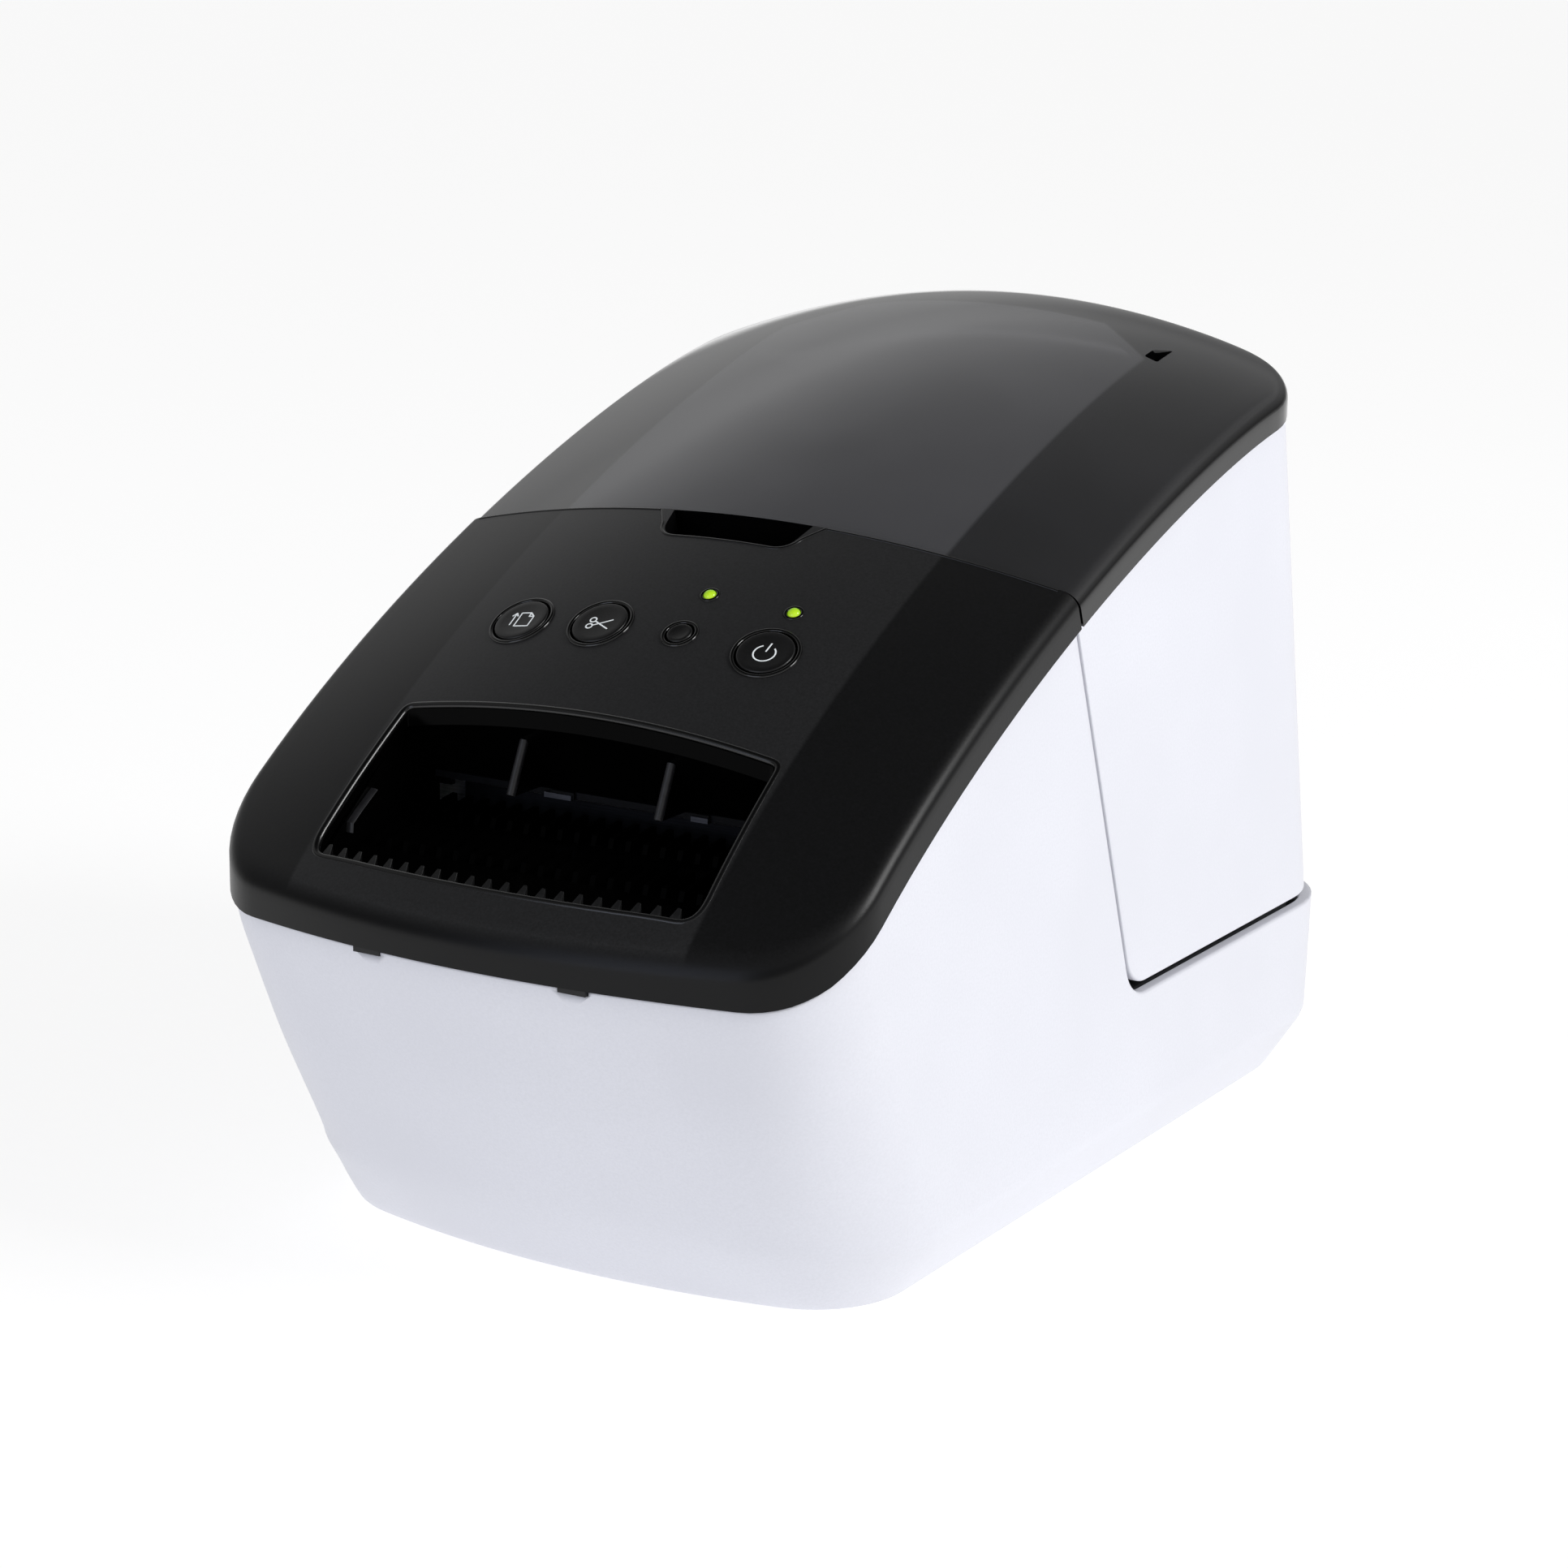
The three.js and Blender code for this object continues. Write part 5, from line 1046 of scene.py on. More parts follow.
def edge_bead(flat, closed, radius=EDGE_BEAD, sink=0.4):
    """A bead along a flat line laid on the top, with its middle sunk by a share of its radius."""
    flat = np.asarray(flat, float)
    normals = top_normal(flat[:, 0], flat[:, 1])
    path = np.column_stack([flat, top_z(flat[:, 0], flat[:, 1])]) - normals * radius * sink * 2
    return bead(path, normals, radius, closed=closed, sides=20)


def resampled(ring, spacing=1.2, closed=True):
    """The same line with points at an even spacing."""
    loop = np.vstack([ring, ring[:1]]) if closed else ring
    step = np.concatenate([[0], np.cumsum(np.linalg.norm(np.diff(loop, axis=0), axis=1))])
    at = np.linspace(0, step[-1], int(step[-1] / spacing) + 1)
    line = np.stack([np.interp(at, step, loop[:, k]) for k in (0, 1)], 1)
    return line[:-1] if closed else line


mouth_edge = resampled(mouth_ring(EDGE_BEAD * 0.75), 0.6)


def seam_edge(x_from, x_to, count=40):
    """The panel's edge along the seam as plan points, found by stepping the height and the place in turn."""
    x = np.linspace(x_from, x_to, count)
    y = np.full(count, SEAM["y"] - 4.0)
    for _ in range(SEAM_ROUNDS):
        y = seam_y(x, top_z(x, y), -SEAM_GAP / 2 - 0.3)
    return np.stack([x, y], 1)


rim_grids = [edge_bead(mouth_edge, True)]
rim_grids += [
    edge_bead(seam_edge(side * SEAM_SIDE, side * (NOTCH["half"] + 0.4)), False, 0.32, 0.3)
    for side in (-1, 1)
]
notch_path = resampled(
    np.vstack(
        [
            seam_edge(NOTCH["half"], NOTCH["half"], 1),
            notch_ring(0.35, -20.0)[::-1][7:-7],
            seam_edge(-NOTCH["half"], -NOTCH["half"], 1),
        ]
    ),
    0.5,
    False,
)
rim_grids.append(edge_bead(notch_path, False, 0.4, 0.3))
edges = piece("panel_edge_rounds", rim_grids, 60)
print("edge rounds:", len(edges.data.polygons), "faces")

# %% [markdown]
# Behind its edge the mouth is lined in black that is darkened, with its reflection nearly taken away, as
# painted shade. A comb of small teeth stands along its front lip, which strips the label off, and two fins
# with round noses hold the label down. The lining is a flat hoop that follows the mouth's outline, and each
# tooth is a wedge of four corners, all of them made in one array.

# %% Lining, teeth and fin noses
TEETH = dict(count=21, pitch=3.49, root=1.05, tip=0.35, reach=1.3, depth=3.2)
FINS = dict(x=15.0, high=(-71.5, 88.5), low=(-75.6, 79.6), nose=0.8)

inner_ring = resampled(mouth_ring(), 0.8)
outer_ring = inset_ring(inner_ring, -LINING)
hoop = [np.column_stack([flat, top_z(flat[:, 0], flat[:, 1]) - depth])
        for flat, depth in ((inner_ring, 0.5), (outer_ring, 0.5), (outer_ring, 3.4), (inner_ring, 3.4))]
lining = piece("mouth_lining", [(np.stack(hoop, 1), True, True)])

middles = TEETH["pitch"] * (np.arange(TEETH["count"]) - (TEETH["count"] - 1) / 2)
lip = MOUTH["side"] - MOUTH["bow"] * (1 - (middles / MOUTH["half"]) ** 2)
teeth = []
for x, y in zip(middles, lip):
    corners = np.array([(x - TEETH["root"], y - 0.6), (x + TEETH["root"], y - 0.6),
                        (x + TEETH["tip"], y + TEETH["reach"]), (x - TEETH["tip"], y + TEETH["reach"])])
    centre = np.broadcast_to(corners.mean(0), corners.shape)
    rows = [
        np.column_stack([flat, top_z(flat[:, 0], flat[:, 1]) - depth])
        for flat, depth in (
            (centre, TEETH["depth"]), (corners, TEETH["depth"]), (corners, 0.3),
            (inset_ring(corners, 0.1), 0.15), (centre, 0.15),
        )
    ]
    teeth.append((np.stack(rows, 1), True, False))
comb = piece("mouth_teeth", teeth)

noses = [
    bead(
        [(side * FINS["x"], *FINS["high"]), (side * FINS["x"], *FINS["low"])],
        [(1, 0, 0)] * 2,
        FINS["nose"],
        closed=False,
        sides=20,
    )
    for side in (-1, 1)
]
GUIDE_RIB = [(-38.3, -83.6, 79.2), (-38.3, -88.0, 76.4), (-38.3, -90.4, 74.7), (-38.3, -90.6, 73.1)]
noses.append(bead(GUIDE_RIB, [(1, 0, 0)] * 4, 0.3, flat=4.0, closed=False, sides=12))
fin_noses = piece("fin_noses", noses)
GUARD_TABS = dict(across=((-14.2, -8.6), (15.8, 19.2)), along=(-66.95, -65.9), upright=(77.75, 78.65))
guard_tabs = piece(
    "guard_tabs",
    [box(across, GUARD_TABS["along"], GUARD_TABS["upright"]) for across in GUARD_TABS["across"]],
)
print("comb:", len(teeth), "teeth, lining:", len(lining.data.polygons), "faces")

# %% [markdown]
# The roll is one long web wound on a board core, so its sides are flat and its outer corner is barely
# round. It is turned from a closed half section. Under the machine, a plate closes the case.

# %% Label roll, core and bottom plate
ROLL = dict(y=28.0, z=86.0, radius=41.0, half=31.0, core=15.0, bore=12.5)
ROLL_EDGE, ROLL_RIPPLE, ROLL_RINGS, CORE_EDGE = 0.35, 0.04, 12, 0.2
PLATE = dict(corner=14.7, gap=0.15, low=0.2, high=2.2)
roll_place = (0.0, ROLL["y"], ROLL["z"])


def roll_section(inner, outer, half, edge, ripple=0.0, turns=1):
    """A closed half section: two flat sides with a wave of the ripple's height, and two rounded outer
    corners."""
    way = np.linspace(inner, outer - edge, 4 * turns + 1)
    wave = ripple * np.cos(np.linspace(0, 2 * np.pi * turns, len(way)))
    side = [(r, half - ripple + w) for r, w in zip(way, wave)]
    return [(r, -h) for r, h in side] + [(outer, -half + edge), (outer, half - edge)] + side[::-1]


web = roll_section(ROLL["core"] + 0.05, ROLL["radius"], ROLL["half"], ROLL_EDGE, ROLL_RIPPLE, ROLL_RINGS)
label_roll = piece("wound_label_roll", [turned_ring(web, roll_place, (1, 0, 0), 128)])
tube = roll_section(ROLL["bore"], ROLL["core"], ROLL["half"], CORE_EDGE)
core_tube = piece("roll_core_tube", [turned_ring(tube, roll_place, (1, 0, 0), 96)])
foot_plan = {key: values[CASE_KNOTS.tolist().index(0)] for key, values in CASE_LEVELS.items()}
plate_x, plate_y = outline(**{**foot_plan, "corner": PLATE["corner"]}, inset=CASE_WALL + PLATE["gap"])
plate_ring = np.column_stack([plate_x[:, 0], plate_y[:, 0]])
plate = piece("case_bottom_plate", [drawn(plate_ring, "z", PLATE["low"], PLATE["high"])])
print("roll:", len(label_roll.data.polygons), "faces, plate:", len(plate.data.polygons))

# %% [markdown]
# Two coil springs press the print head down on the roller. Each is one wire on a helix, wound closer
# towards both ends, where it bears on the crossbar above and on the head's bracket below.

# %% Head springs
COIL = dict(radius=2.6, wire=0.7, turns=4, closing=0.5)


def coil(middle, low, high, radius, wire, turns, closing):
    """A wire on a helix: over t from 0 to 1 it rises as t - closing sin(2 pi t) / (2 pi), so the pitch is
    least at both ends."""
    t = np.linspace(0, 1, 28 * turns + 1)
    angle = 2 * np.pi * turns * t
    out = np.column_stack([np.cos(angle), np.sin(angle), np.zeros(len(t))])
    rise = t - closing * np.sin(2 * np.pi * t) / (2 * np.pi)
    path = radius * out + np.column_stack(
        [np.full((len(t), 2), middle), low + wire / 2 + (high - low - wire) * rise]
    )
    return bead(path, out, wire / 2, closed=False, sides=12)


springs = {}
for name in ("head_spring_left", "head_spring_right"):
    corner_low, corner_high = (np.array(corner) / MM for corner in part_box(name))
    middle, low, high = ((corner_low + corner_high) / 2)[:2], corner_low[2], corner_high[2]
    thing = piece(name + "_coil", [coil(middle, low - FEET, high - FEET, **COIL)], 60)
    springs[name] = thing, (*middle, high - 1.5 * COIL["wire"]), (*middle, low + 1.5 * COIL["wire"])
    print(name, "is", round(high - low, 2), "mm long")

# %% [markdown]
# Materials are built from a few nodes. One function turns a hex colour into the linear numbers that Blender
# wants, and one adds a node with its settings and links. A pattern's scale is one over its real size in
# metres, because every material reads the object's own coordinates, which are metres here.

# %% Colours and nodes


def colour(value):
    """An sRGB hex colour as linear red, green, blue and alpha."""
    srgb = np.array([(value >> shift & 255) / 255 for shift in (16, 8, 0)])
    linear = np.where(srgb <= 0.04045, srgb / 12.92, ((srgb + 0.055) / 1.055) ** 2.4)
    return (*linear.tolist(), 1.0)


def add(tree, kind, inputs=(), output=0, stops=(), **settings):
    """A new node with its settings, its colour stops, and each input set to a value or linked to a socket.
    Gives back one output."""
    made = tree.nodes.new(kind)
    for key, value in settings.items():
        setattr(made, key, value)
    for number, (place, value) in enumerate(stops):
        marks = made.color_ramp.elements
        mark = marks[number] if number < 2 else marks.new(place)
        mark.position, mark.color = place, colour(value)
    for key, value in dict(inputs).items():
        if isinstance(value, bpy.types.NodeSocket):
            tree.links.new(value, made.inputs[key])
        else:
            made.inputs[key].default_value = value
    return made.outputs[output] if made.outputs else made


def blank(name):
    """A material with no nodes yet, and the object's coordinates to lay patterns out on."""
    material = bpy.data.materials.new(name)
    material.use_nodes = True
    material.node_tree.nodes.clear()
    return material, material.node_tree, add(material.node_tree, "ShaderNodeTexCoord", output="Object")


def finished(tree, sockets):
    """The surface shader with its sockets, and the output."""
    add(tree, "ShaderNodeOutputMaterial", {"Surface": add(tree, "ShaderNodeBsdfPrincipled", sockets)})


FINISHES = {}


def moulded(name, dark, light, gloss, grain, depth, patch=40.0, **sockets):
    """A moulded or cast surface: fine grain of a width and depth in mm as bump and fleck, and broad patches
    that shift its gloss."""
    material, tree, place = blank(name)
    fine = add(
        tree,
        "ShaderNodeTexNoise",
        {"Vector": place, "Scale": 1 / (grain * MM), "Detail": 3.0, "Roughness": 0.6},
    )
    broad = add(tree, "ShaderNodeTexNoise", {"Vector": place, "Scale": 1 / (patch * MM), "Detail": 2.0})
    both = add(tree, "ShaderNodeMath", {0: fine, 1: broad}, operation="MULTIPLY")
    finished(
        tree,
        {
            "Base Color": add(
                tree, "ShaderNodeValToRGB", {"Fac": both}, stops=((0.15, dark), (0.4, light))
            ),
            "Roughness": add(
                tree,
                "ShaderNodeMapRange",
                {"Value": broad, "From Min": 0.3, "From Max": 0.7, "To Min": gloss[0], "To Max": gloss[1]},
            ),
            "Normal": add(
                tree, "ShaderNodeBump", {"Height": fine, "Distance": depth * MM, "Strength": 1.0}
            ),
            **{key.replace("_", " "): value for key, value in sockets.items()},
        },
    )
    return material


print("white as linear numbers:", [round(v, 3) for v in colour(0xF1F2F4)[:3]])

# %% [markdown]
# The case is ABS, moulded in a finely etched tool: white with a cool tint, satin, with a grain of a few
# hundredths of a millimetre. That is too fine to show in the picture, so the grain here is 0.5 mm wide and
# very shallow. Black ABS from the same kind of tool makes the keys and the inside of the lid.

# %% Etched plastics
FINISHES["white_case"] = moulded("white_ABS_etched", 0xDCDDE5, 0xE2E3EB, (0.40, 0.47), 0.5, 0.010, IOR=1.53)
FINISHES["button_black"] = moulded(
    "black_ABS_key", 0x0C0C0C, 0x161617, (0.34, 0.40), 0.45, 0.006, IOR=1.53, Specular_IOR_Level=0.4
)
FINISHES["inner_black"] = moulded(
    "black_ABS_matt", 0x080809, 0x101011, (0.46, 0.54), 0.6, 0.015, IOR=1.53, Specular_IOR_Level=0.35
)
FINISHES["dark_plastic"] = moulded("grey_ABS_moulded", 0x26272A, 0x323336, (0.46, 0.54), 0.6, 0.015, IOR=1.53)
print("etched:", list(FINISHES))

# %% [markdown]
# The control panel is black ABS too, with a satin fleck. Its middle part, as wide as the label mouth, is a
# shade lighter than its two borders, so two tones are mixed by the distance from the middle plane. The
# skirt round the edge is painted shade: the way its surface faces picks it out, and there it takes the
# border's tone and then goes on to near black.

# %% Panel with its lighter middle
STRIPE, STRIPE_BLUR = 39.5, 0.5
material, tree, place = blank("black_ABS_satin")
fleck = add(
    tree, "ShaderNodeTexNoise", {"Vector": place, "Scale": 1 / (0.45 * MM), "Detail": 4.0, "Roughness": 0.7}
)
away = add(
    tree,
    "ShaderNodeMath",
    {0: add(tree, "ShaderNodeSeparateXYZ", {"Vector": place}, output="X")},
    operation="ABSOLUTE",
)
upwards = add(
    tree, "ShaderNodeSeparateXYZ", {"Vector": add(tree, "ShaderNodeTexCoord", output="Normal")}, output="Z"
)
# Painted shade: this mask picks out the skirt, where the surface turns down away from the top.
skirt = add(tree, "ShaderNodeMapRange", {"Value": upwards, "From Min": 0.6, "From Max": 0.35})
beyond = add(
    tree,
    "ShaderNodeMapRange",
    {"Value": away, "From Min": (STRIPE - STRIPE_BLUR) * MM, "From Max": (STRIPE + STRIPE_BLUR) * MM},
    interpolation_type="SMOOTHSTEP",
)
border = add(tree, "ShaderNodeMath", {0: beyond, 1: skirt}, operation="MAXIMUM")
middle_tone = add(tree, "ShaderNodeValToRGB", {"Fac": fleck}, stops=((0.3, 0x252525), (0.7, 0x303031)))
border_tone = add(tree, "ShaderNodeValToRGB", {"Fac": fleck}, stops=((0.3, 0x131313), (0.7, 0x1B1B1C)))
MIX_FACTOR, MIX_A, MIX_B, MIX_RESULT = 0, 6, 7, 2
top_tone = add(
    tree,
    "ShaderNodeMix",
    {MIX_FACTOR: border, MIX_A: middle_tone, MIX_B: border_tone},
    output=MIX_RESULT,
    data_type="RGBA",
)
# Painted shade: on the skirt the tone goes on from the border's tone to near black.
panel_tone_with_painted_skirt_shade = add(
    tree,
    "ShaderNodeMix",
    {MIX_FACTOR: skirt, MIX_A: top_tone, MIX_B: colour(0x060607)},
    output=MIX_RESULT,
    data_type="RGBA",
)
finished(
    tree,
    {
        "Base Color": panel_tone_with_painted_skirt_shade,
        "Roughness": add(tree, "ShaderNodeMapRange", {"Value": fleck, "To Min": 0.28, "To Max": 0.38}),
        "IOR": 1.53,
        "Specular IOR Level": 0.2,
        "Normal": add(tree, "ShaderNodeBump", {"Height": fleck, "Distance": 0.012 * MM, "Strength": 0.7}),
    },
)
FINISHES["black_panel"] = material
print(material.name)

# %% [markdown]
# The lid's cover is clear acrylic, dyed grey in the mass and polished. It is sprayed black from behind,
# except over the window, so part of the light goes through there. The window's lighter grey tone is painted
# light, standing for light that falls through onto the roll. The window's outline is worked out from the
# distance to the middle plane and the place along the lid, with its rear corners cut off, and the skirt round
# it is painted shade, darkened to near black by the way its surface faces. Polishing leaves a faint
# unevenness, as wide as a finger.

# %% Smoked acrylic with a black border
CLEAR = dict(half=STRIPE, rear=61.0, chamfer_from=26.0, chamfer=0.75)
material, tree, place = blank("smoked_acrylic_polished")
sheen = add(tree, "ShaderNodeTexNoise", {"Vector": place, "Scale": 1 / (20 * MM), "Detail": 1.0})
axes = add(tree, "ShaderNodeSeparateXYZ", {"Vector": place}, output="X").node
away = add(tree, "ShaderNodeMath", {0: axes.outputs["X"]}, operation="ABSOLUTE")
over = add(tree, "ShaderNodeMath", {0: away, 1: CLEAR["chamfer_from"] * MM}, operation="SUBTRACT")
slant = add(tree, "ShaderNodeMath", {0: over, 1: 0.0}, operation="MAXIMUM")
reach = add(
    tree, "ShaderNodeMath", {0: slant, 1: CLEAR["chamfer"], 2: axes.outputs["Y"]}, operation="MULTIPLY_ADD"
)
beside = add(
    tree,
    "ShaderNodeMapRange",
    {"Value": away, "From Min": (CLEAR["half"] - 0.4) * MM, "From Max": (CLEAR["half"] + 0.4) * MM},
)
behind = add(
    tree,
    "ShaderNodeMapRange",
    {"Value": reach, "From Min": (CLEAR["rear"] - 0.4) * MM, "From Max": (CLEAR["rear"] + 0.4) * MM},
)
sprayed = add(tree, "ShaderNodeMath", {0: beside, 1: behind}, operation="MAXIMUM")
# Painted light: the window's lighter grey tone stands for light that falls through onto the roll.
window_painted_light_tone = add(tree, "ShaderNodeValToRGB", {"Fac": sheen}, stops=((0.2, 0x6E6E71), (0.8, 0x78787B)))
black = add(tree, "ShaderNodeValToRGB", {"Fac": sheen}, stops=((0.2, 0x464647), (0.8, 0x4C4C4E)))
top_tone = add(
    tree,
    "ShaderNodeMix",
    {MIX_FACTOR: sprayed, MIX_A: window_painted_light_tone, MIX_B: black},
    output=MIX_RESULT,
    data_type="RGBA",
)
# Painted shade: the cover's skirt, found by how its surface faces, is darkened to near black.
upwards = add(
    tree, "ShaderNodeSeparateXYZ", {"Vector": add(tree, "ShaderNodeTexCoord", output="Normal")}, output="Z"
)
skirt = add(tree, "ShaderNodeMapRange", {"Value": upwards, "From Min": 0.75, "From Max": 0.35})
finished(
    tree,
    {
        "Base Color": add(
            tree,
            "ShaderNodeMix",
            {MIX_FACTOR: skirt, MIX_A: top_tone, MIX_B: colour(0x0C0C0D)},
            output=MIX_RESULT,
            data_type="RGBA",
        ),
        "Roughness": add(tree, "ShaderNodeMapRange", {"Value": sheen, "To Min": 0.06, "To Max": 0.1}),
        "IOR": 1.49,
        "Transmission Weight": 0.5,
    },
)
FINISHES["smoked_cover"] = material
print(material.name)

# %% [markdown]
# The outlet, the sockets and the rings round the keys are black ABS from a polished tool, so they are
# glossy and show thin bright lines where an edge is rounded. Inside the outlet, though, the black is made
# darker still and nearly without reflection, as painted shade. The pictograms are white pad print with a
# faint painted glow.

# %% Gloss black and print
FINISHES["gloss_black"] = moulded(
    "black_ABS_polished", 0x050505, 0x090909, (0.08, 0.16), 12.0, 0.004, IOR=1.53
)
EDGE_BLACK = moulded("black_ABS_worn_edge", 0x0A0A0A, 0x101011, (0.20, 0.26), 8.0, 0.001, IOR=1.53)
# Painted highlight: the fin noses and the guide rib are a lighter grey, standing for bright lines on their
# rounded edges.
NOSE_PAINTED_HIGHLIGHT_GREY = moulded("fin_nose_grey_painted_highlight", 0x242426, 0x343437, (0.28, 0.4), 2.0, 0.002, IOR=1.53)
# Painted light: the pad print gives off a faint glow of its own.
PRINT_WHITE_PAINTED_GLOW = moulded("white_pad_print_painted_glow", 0xDDE2E4, 0xF0F3F4, (0.45, 0.55), 0.3, 0.004, IOR=1.5,
                      Emission_Color=colour(0xE8EEF0), Emission_Strength=0.35)
# Painted shade: darker than the other black and nearly without reflection, so the inside of the outlet reads
# shaded.
OUTLET_BLACK_PAINTED_SHADE = moulded(
    "black_ABS_outlet_painted_shade", 0x020202, 0x040404, (0.14, 0.22), 12.0, 0.004, IOR=1.53, Specular_IOR_Level=0.03
)
# Painted shade: the cutter guard sits in the outlet's shade and is made near black and dull.
GUARD_PAINTED_SHADE = moulded(
    "guard_steel_painted_shade", 0x0B0C0E, 0x14151A, (0.35, 0.45), 1.2, 0.01, IOR=1.53, Specular_IOR_Level=0.12
)
print("gloss, edges and print")

# %% [markdown]
# The two lamps are yellow-green light-emitting diodes behind small domes. The glow is strongest where the
# dome is met squarely and falls off towards its rim, so a facing ramp drives the colour that it gives off.

# %% Lit lamps
material, tree, place = blank("lit_green_lens")
facing = add(tree, "ShaderNodeLayerWeight", {"Blend": 0.35}, output="Facing")
finished(
    tree,
    {
        "Base Color": add(
            tree,
            "ShaderNodeValToRGB",
            {"Fac": add(tree, "ShaderNodeTexNoise", {"Vector": place, "Scale": 1 / (0.6 * MM)})},
            stops=((0.3, 0x86B414), (0.7, 0x9CC820)),
        ),
        "Roughness": 0.12,
        "IOR": 1.49,
        "Emission Color": add(
            tree,
            "ShaderNodeValToRGB",
            {"Fac": facing},
            stops=((0.0, 0xC4E038), (1.0, 0x1E4A02), (0.45, 0x7FAE0C)),
        ),
        "Emission Strength": 0.6,
    },
)
FINISHES["lens_green"] = material
print(material.name)

# %% [markdown]
# Steel parts are cold-rolled sheet and ground bar. Both carry very fine lines from the rolls or the wheel,
# so the noise is drawn out along one axis. The motors' cans are drawn and a little darker, and the heatsink
# is extruded aluminium with wider lines.

# %% Metals


def lined_metal(name, dark, light, rough, line=0.25, length=12.0, along=0):
    """A metal with fine lines: noise squeezed to the line's width in mm, and stretched along one axis to
    its length."""
    material, tree, place = blank(name)
    scale = [1 / (line * MM)] * 3
    scale[along] = 1 / (length * MM)
    lines = add(
        tree,
        "ShaderNodeTexNoise",
        {
            "Vector": add(tree, "ShaderNodeMapping", {"Vector": place, "Scale": scale}),
            "Scale": 1.0,
            "Detail": 3.0,
        },
    )
    finished(
        tree,
        {
            "Base Color": add(
                tree, "ShaderNodeValToRGB", {"Fac": lines}, stops=((0.25, dark), (0.75, light))
            ),
            "Metallic": 1.0,
            "Roughness": add(
                tree, "ShaderNodeMapRange", {"Value": lines, "To Min": rough, "To Max": rough + 0.12}
            ),
            "Normal": add(
                tree, "ShaderNodeBump", {"Height": lines, "Distance": 0.01 * MM, "Strength": 0.4}
            ),
        },
    )
    return material


FINISHES["steel"] = lined_metal("steel_cold_rolled", 0x9A9DA1, 0xC3C6CA, 0.26)
FINISHES["motor_can"] = lined_metal(
    "steel_drawn_can", 0x7F8286, 0xA3A6AA, 0.32, line=0.4, length=6.0, along=2
)
FINISHES["aluminium"] = lined_metal("aluminium_extruded", 0xB5B8BC, 0xD3D6DA, 0.34, line=0.5, length=30.0)
# Painted shade: the blades sit in the outlet's shade and get a darkened copy of the steel.
BLADE_STEEL_PAINTED_SHADE = lined_metal("steel_darkened_painted_shade", 0x1A1B1E, 0x26272B, 0.4)
# Painted shade: the guard tabs in the outlet get a darkened grey copy of the steel.
TAB_STEEL_PAINTED_SHADE = lined_metal("steel_grey_painted_shade", 0x50525A, 0x62646C, 0.35)
print("metals:", [FINISHES[key].name for key in ("steel", "motor_can", "aluminium")])

# %% [markdown]
# The rest is plainer: rubber with a dull, slightly dusty skin, natural nylon that is a little waxy, glazed
# ceramic under the print head, brown pressed board for the core, and green solder mask with the faint
# squares of copper under it.

# %% Rubber, nylon, ceramic, board and solder mask
FINISHES["foot_rubber"] = moulded("rubber_pad", 0x121212, 0x1F1F1F, (0.72, 0.82), 0.8, 0.05, IOR=1.5)
FINISHES["roller_rubber"] = moulded("rubber_ground", 0x151515, 0x222222, (0.62, 0.70), 0.35, 0.03, IOR=1.5)
FINISHES["nylon"] = moulded("nylon_natural", 0xDAD4C3, 0xE9E4D7, (0.38, 0.46), 1.5, 0.01, IOR=1.53)
FINISHES["ceramic"] = moulded("ceramic_glazed", 0xCDC7B9, 0xDAD5CA, (0.16, 0.24), 4.0, 0.004, IOR=1.5)
FINISHES["core_board"] = moulded("cardboard_pressed", 0x87663F, 0xA98A63, (0.80, 0.90), 0.7, 0.06, IOR=1.5)
material, tree, place = blank("solder_mask_green")
COPPER_FIELD = 9.0
fields = add(
    tree,
    "ShaderNodeTexBrick",
    {
        "Vector": place, "Scale": 1 / (COPPER_FIELD * MM), "Color1": colour(0x1B5A34),
        "Color2": colour(0x237043), "Mortar": colour(0x174A2C), "Mortar Size": 0.06, "Mortar Smooth": 0.4,
    },
)
finished(
    tree,
    {
        "Base Color": fields,
        "IOR": 1.55,
        "Roughness": add(
            tree,
            "ShaderNodeMapRange",
            {
                "Value": add(tree, "ShaderNodeTexNoise", {"Vector": place, "Scale": 1 / (2 * MM)}),
                "To Min": 0.25,
                "To Max": 0.4,
            },
        ),
    },
)
FINISHES["circuit_board"] = material
print("plain finishes done")

# %% [markdown]
# The label web is coated paper, 0.15 mm thick with its backing. From the side its turns show as fine rings,
# drawn 0.8 mm apart here so that they can be seen, and round the outside the paper is smooth and matt.

# %% Wound label paper
TURN_SHOWN, WAVE_UNIT = 0.8, 20.0
material, tree, place = blank("label_paper_wound")
centred = add(
    tree, "ShaderNodeMapping", {"Vector": place, "Location": (0, -ROLL["y"] * MM, -(ROLL["z"] + FEET) * MM)}
)
turns = add(
    tree,
    "ShaderNodeTexWave",
    {
        "Vector": centred,
        "Scale": 1 / (WAVE_UNIT * TURN_SHOWN * MM),
        "Distortion": 0.3,
        "Detail": 2.0,
        "Detail Scale": 3.0,
    },
    output="Fac",
    wave_type="RINGS",
    rings_direction="X",
)
finished(
    tree,
    {
        "Base Color": add(
            tree, "ShaderNodeValToRGB", {"Fac": turns}, stops=((0.2, 0xE6E5E0), (0.8, 0xF4F3EF))
        ),
        "Roughness": 0.75,
        "IOR": 1.5,
        "Normal": add(tree, "ShaderNodeBump", {"Height": turns, "Distance": 0.02 * MM}),
    },
)
FINISHES["label_paper"] = material
print(material.name)

# %% [markdown]
# Each new piece now gets its finish, its body, and the name of the solid that it stands for. The solids
# that are right as they are keep their shape and get a better finish in their place.

# %% Dressing the solids and placing the new pieces


def wear(thing, finish, slot, body, *stands_for):
    """Gives a piece its finish, puts it on a body, and lets it stand for solids."""
    thing.data.materials.clear()
    thing.data.materials.append(finish)
    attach(thing, body)
    if stands_for:
        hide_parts(*stands_for)


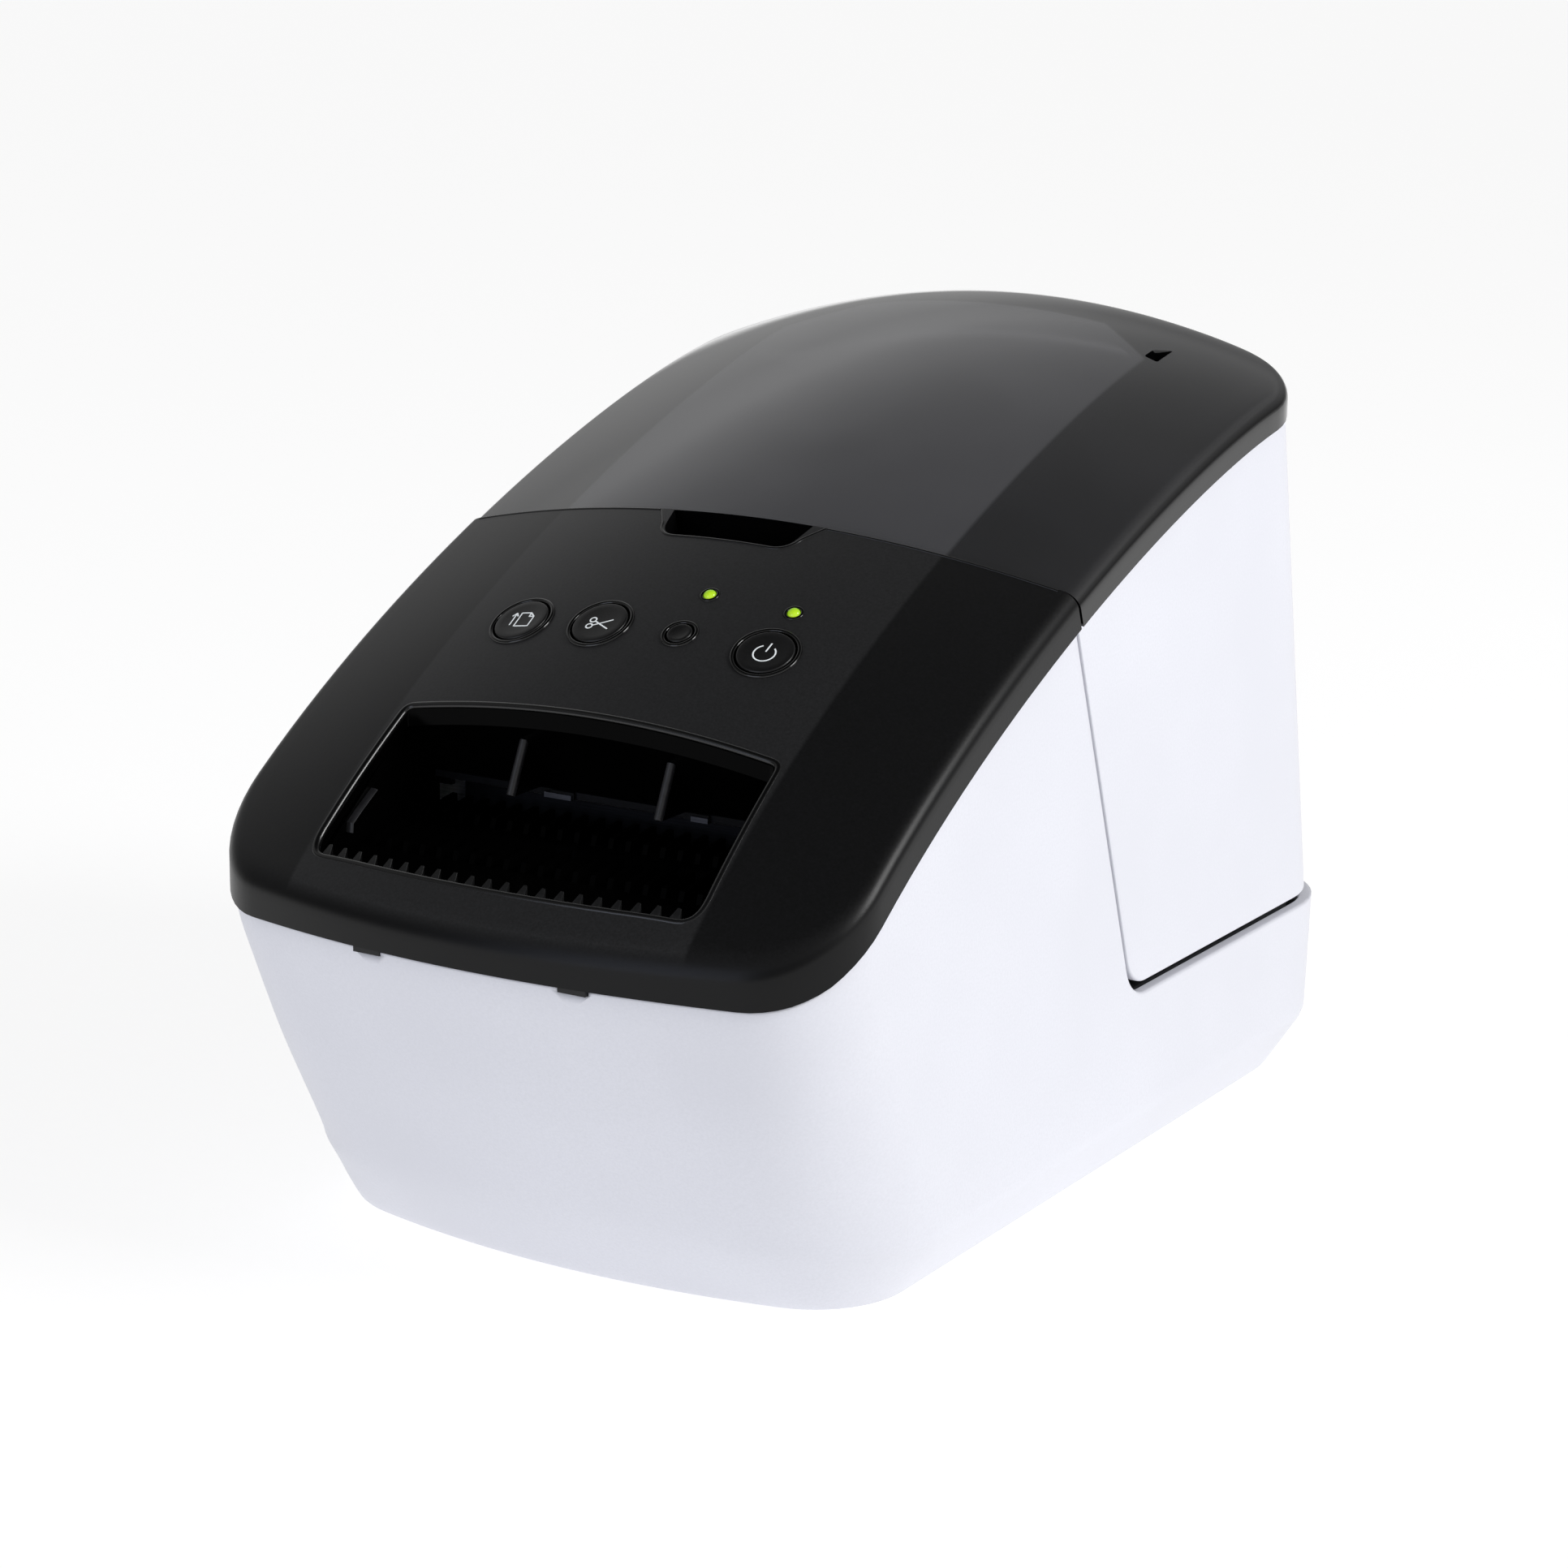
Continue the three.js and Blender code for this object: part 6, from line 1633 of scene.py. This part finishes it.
for thing, slot, body, solid in (
        (white_case, "white_case", "base", "base_housing"), (plate, "white_case", "base", "bottom_plate"),
        (white_lid, "white_case", "lid", "lid_shell"), (smoked_cover, "smoked_cover", "lid", "lid_cover"),
        (inner_frame, "inner_black", "lid", "lid_inner_frame"), (panel, "black_panel", "base", "front_panel"),
        (label_roll, "label_paper", "roll", "label_paper"), (core_tube, "core_board", "roll", "roll_core"),
        *((lamps[name], "lens_green", "base", name) for name in LAMPS)):
    wear(thing, FINISHES[slot], slot, body, solid)
wear(rings, FINISHES["gloss_black"], "gloss_black", "base")
wear(edges, EDGE_BLACK, "gloss_black", "base")
wear(lining, OUTLET_BLACK_PAINTED_SHADE, "gloss_black", "base")
wear(comb, FINISHES["button_black"], "gloss_black", "base")
wear(fin_noses, NOSE_PAINTED_HIGHLIGHT_GREY, "gloss_black", "base")
wear(guard_tabs, TAB_STEEL_PAINTED_SHADE, "steel", "base")
wear(cap_clips, FINISHES["inner_black"], "black_panel", "base")
for name, body in KEY_BODIES.items():
    wear(keys[name], FINISHES["button_black"], "button_black", body, name)
    if name in prints:
        wear(prints[name], PRINT_WHITE_PAINTED_GLOW, "button_black", body)

OUTLET_FINISHES = dict(
    outlet_chute=OUTLET_BLACK_PAINTED_SHADE, outlet_floor=OUTLET_BLACK_PAINTED_SHADE, cutter_guard=GUARD_PAINTED_SHADE, fixed_blade=BLADE_STEEL_PAINTED_SHADE,
    moving_blade=BLADE_STEEL_PAINTED_SHADE,
)
part_slots = {part["node"]: part["material_slot"] for part in frame["record"]["subparts"]}
for name, thing in frame["nodes"].items():
    for number in range(len(thing.material_slots)):
        thing.material_slots[number].material = OUTLET_FINISHES.get(name, FINISHES[part_slots[name]])
for name, (thing, upper, lower) in springs.items():
    thing.data.materials.clear()
    thing.data.materials.append(FINISHES[part_slots[name]])
    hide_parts(name)
    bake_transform(thing)
print("solids dressed:", len(part_slots))

# %% [markdown]
# The printer stands on a pale floor in a bright room. The room is light halfway up and dark overhead, which
# is what makes the sloping panel dark and the flatter lid grey. It is brighter on the right and behind than
# on the left, with a pale wall at the rear left and a dark doorway behind. The floor glows a little, as a
# lit table does, so that no hard shadow stands on it. A soft light on the right brightens that side, and a
# wide, faint one far in front lightens the front.

# %% Floor, room and lights
FLOOR_HALF = 40.0
floor_mesh = bpy.data.meshes.new("floor")
floor_mesh.from_pydata(
    [(x * FLOOR_HALF, y * FLOOR_HALF, 0) for x, y in ((-1, -1), (1, -1), (1, 1), (-1, 1))],
    [],
    [(0, 1, 2, 3)],
)
floor = bpy.data.objects.new("floor", floor_mesh)
scene.collection.objects.link(floor)
FLOOR_GLOW = 0.84
floor_mesh.materials.append(moulded("floor_paper", 0x949494, 0x989898, (0.9, 0.95), 3.0, 0.0, 300.0,
                                    Emission_Color=colour(0xFFFFFF), Emission_Strength=FLOOR_GLOW))

world = bpy.data.worlds.new("room")
scene.world = world
world.use_nodes = True
sky = world.node_tree
sky.nodes.clear()
way = add(sky, "ShaderNodeTexCoord", output="Generated")
up = add(sky, "ShaderNodeSeparateXYZ", {"Vector": way}, output="Z")
shade = add(
    sky,
    "ShaderNodeValToRGB",
    {"Fac": up},
    stops=(
        (0.0, 0xF4F4F4), (1.0, 0x101010), (0.05, 0xE4E4E4), (0.13, 0x9C9C9C), (0.42, 0xC4C4C4),
        (0.52, 0xECECEC), (0.62, 0xDCDCDC), (0.74, 0x9C9C9C), (0.87, 0x444444),
    ),
)
BRIGHT_SIDE, PALE_WALL, DOORWAY = (0.6, 0.8, 0.0), (-0.8, 0.6, 0.0), (0.15, 0.9, 0.4)
facing = add(sky, "ShaderNodeVectorMath", {0: way, 1: BRIGHT_SIDE}, output="Value", operation="DOT_PRODUCT")
power = add(
    sky,
    "ShaderNodeMapRange",
    {"Value": facing, "From Min": -0.8, "From Max": 0.4, "To Min": 0.35, "To Max": 1.0},
)
for side, rim, most in ((PALE_WALL, 0.75, 1.5), (DOORWAY, 0.76, 0.5)):
    facing = add(sky, "ShaderNodeVectorMath", {0: way, 1: side}, output="Value", operation="DOT_PRODUCT")
    share = add(
        sky,
        "ShaderNodeMapRange",
        {"Value": facing, "From Min": rim, "From Max": 0.95, "To Min": 1.0, "To Max": most},
        interpolation_type="SMOOTHSTEP",
    )
    power = add(sky, "ShaderNodeMath", {0: power, 1: share}, operation="MULTIPLY")
add(
    sky,
    "ShaderNodeOutputWorld",
    {"Surface": add(sky, "ShaderNodeBackground", {"Color": shade, "Strength": power})},
)


def soft_light(name, place, aim, size, power, tint=0xFFFFFF):
    """A square soft light at a place in mm, turned to face its aim."""
    lamp = bpy.data.objects.new(name, bpy.data.lights.new(name, "AREA"))
    lamp.data.shape, lamp.data.size, lamp.data.energy = "SQUARE", size * MM, power
    lamp.data.color = colour(tint)[:3]
    scene.collection.objects.link(lamp)
    back = np.array(place, float) - np.array(aim, float)
    back /= np.linalg.norm(back)
    side = np.cross((0, 0, 1), back)
    side /= np.linalg.norm(side)
    pose = np.eye(4)
    pose[:3, 0], pose[:3, 1], pose[:3, 2], pose[:3, 3] = side, np.cross(back, side), back, np.array(
        place
    ) * MM
    lamp.matrix_world = Matrix(pose.tolist())


soft_light("right_light", (1100, 130, 740), (40, 0, 80), 480, 8.5)
soft_light("front_light", (-300, -1600, 420), (0, -60, 60), 900, 4, 0xE2EAFF)
scene.view_settings.view_transform = "Standard"
print("lights placed")
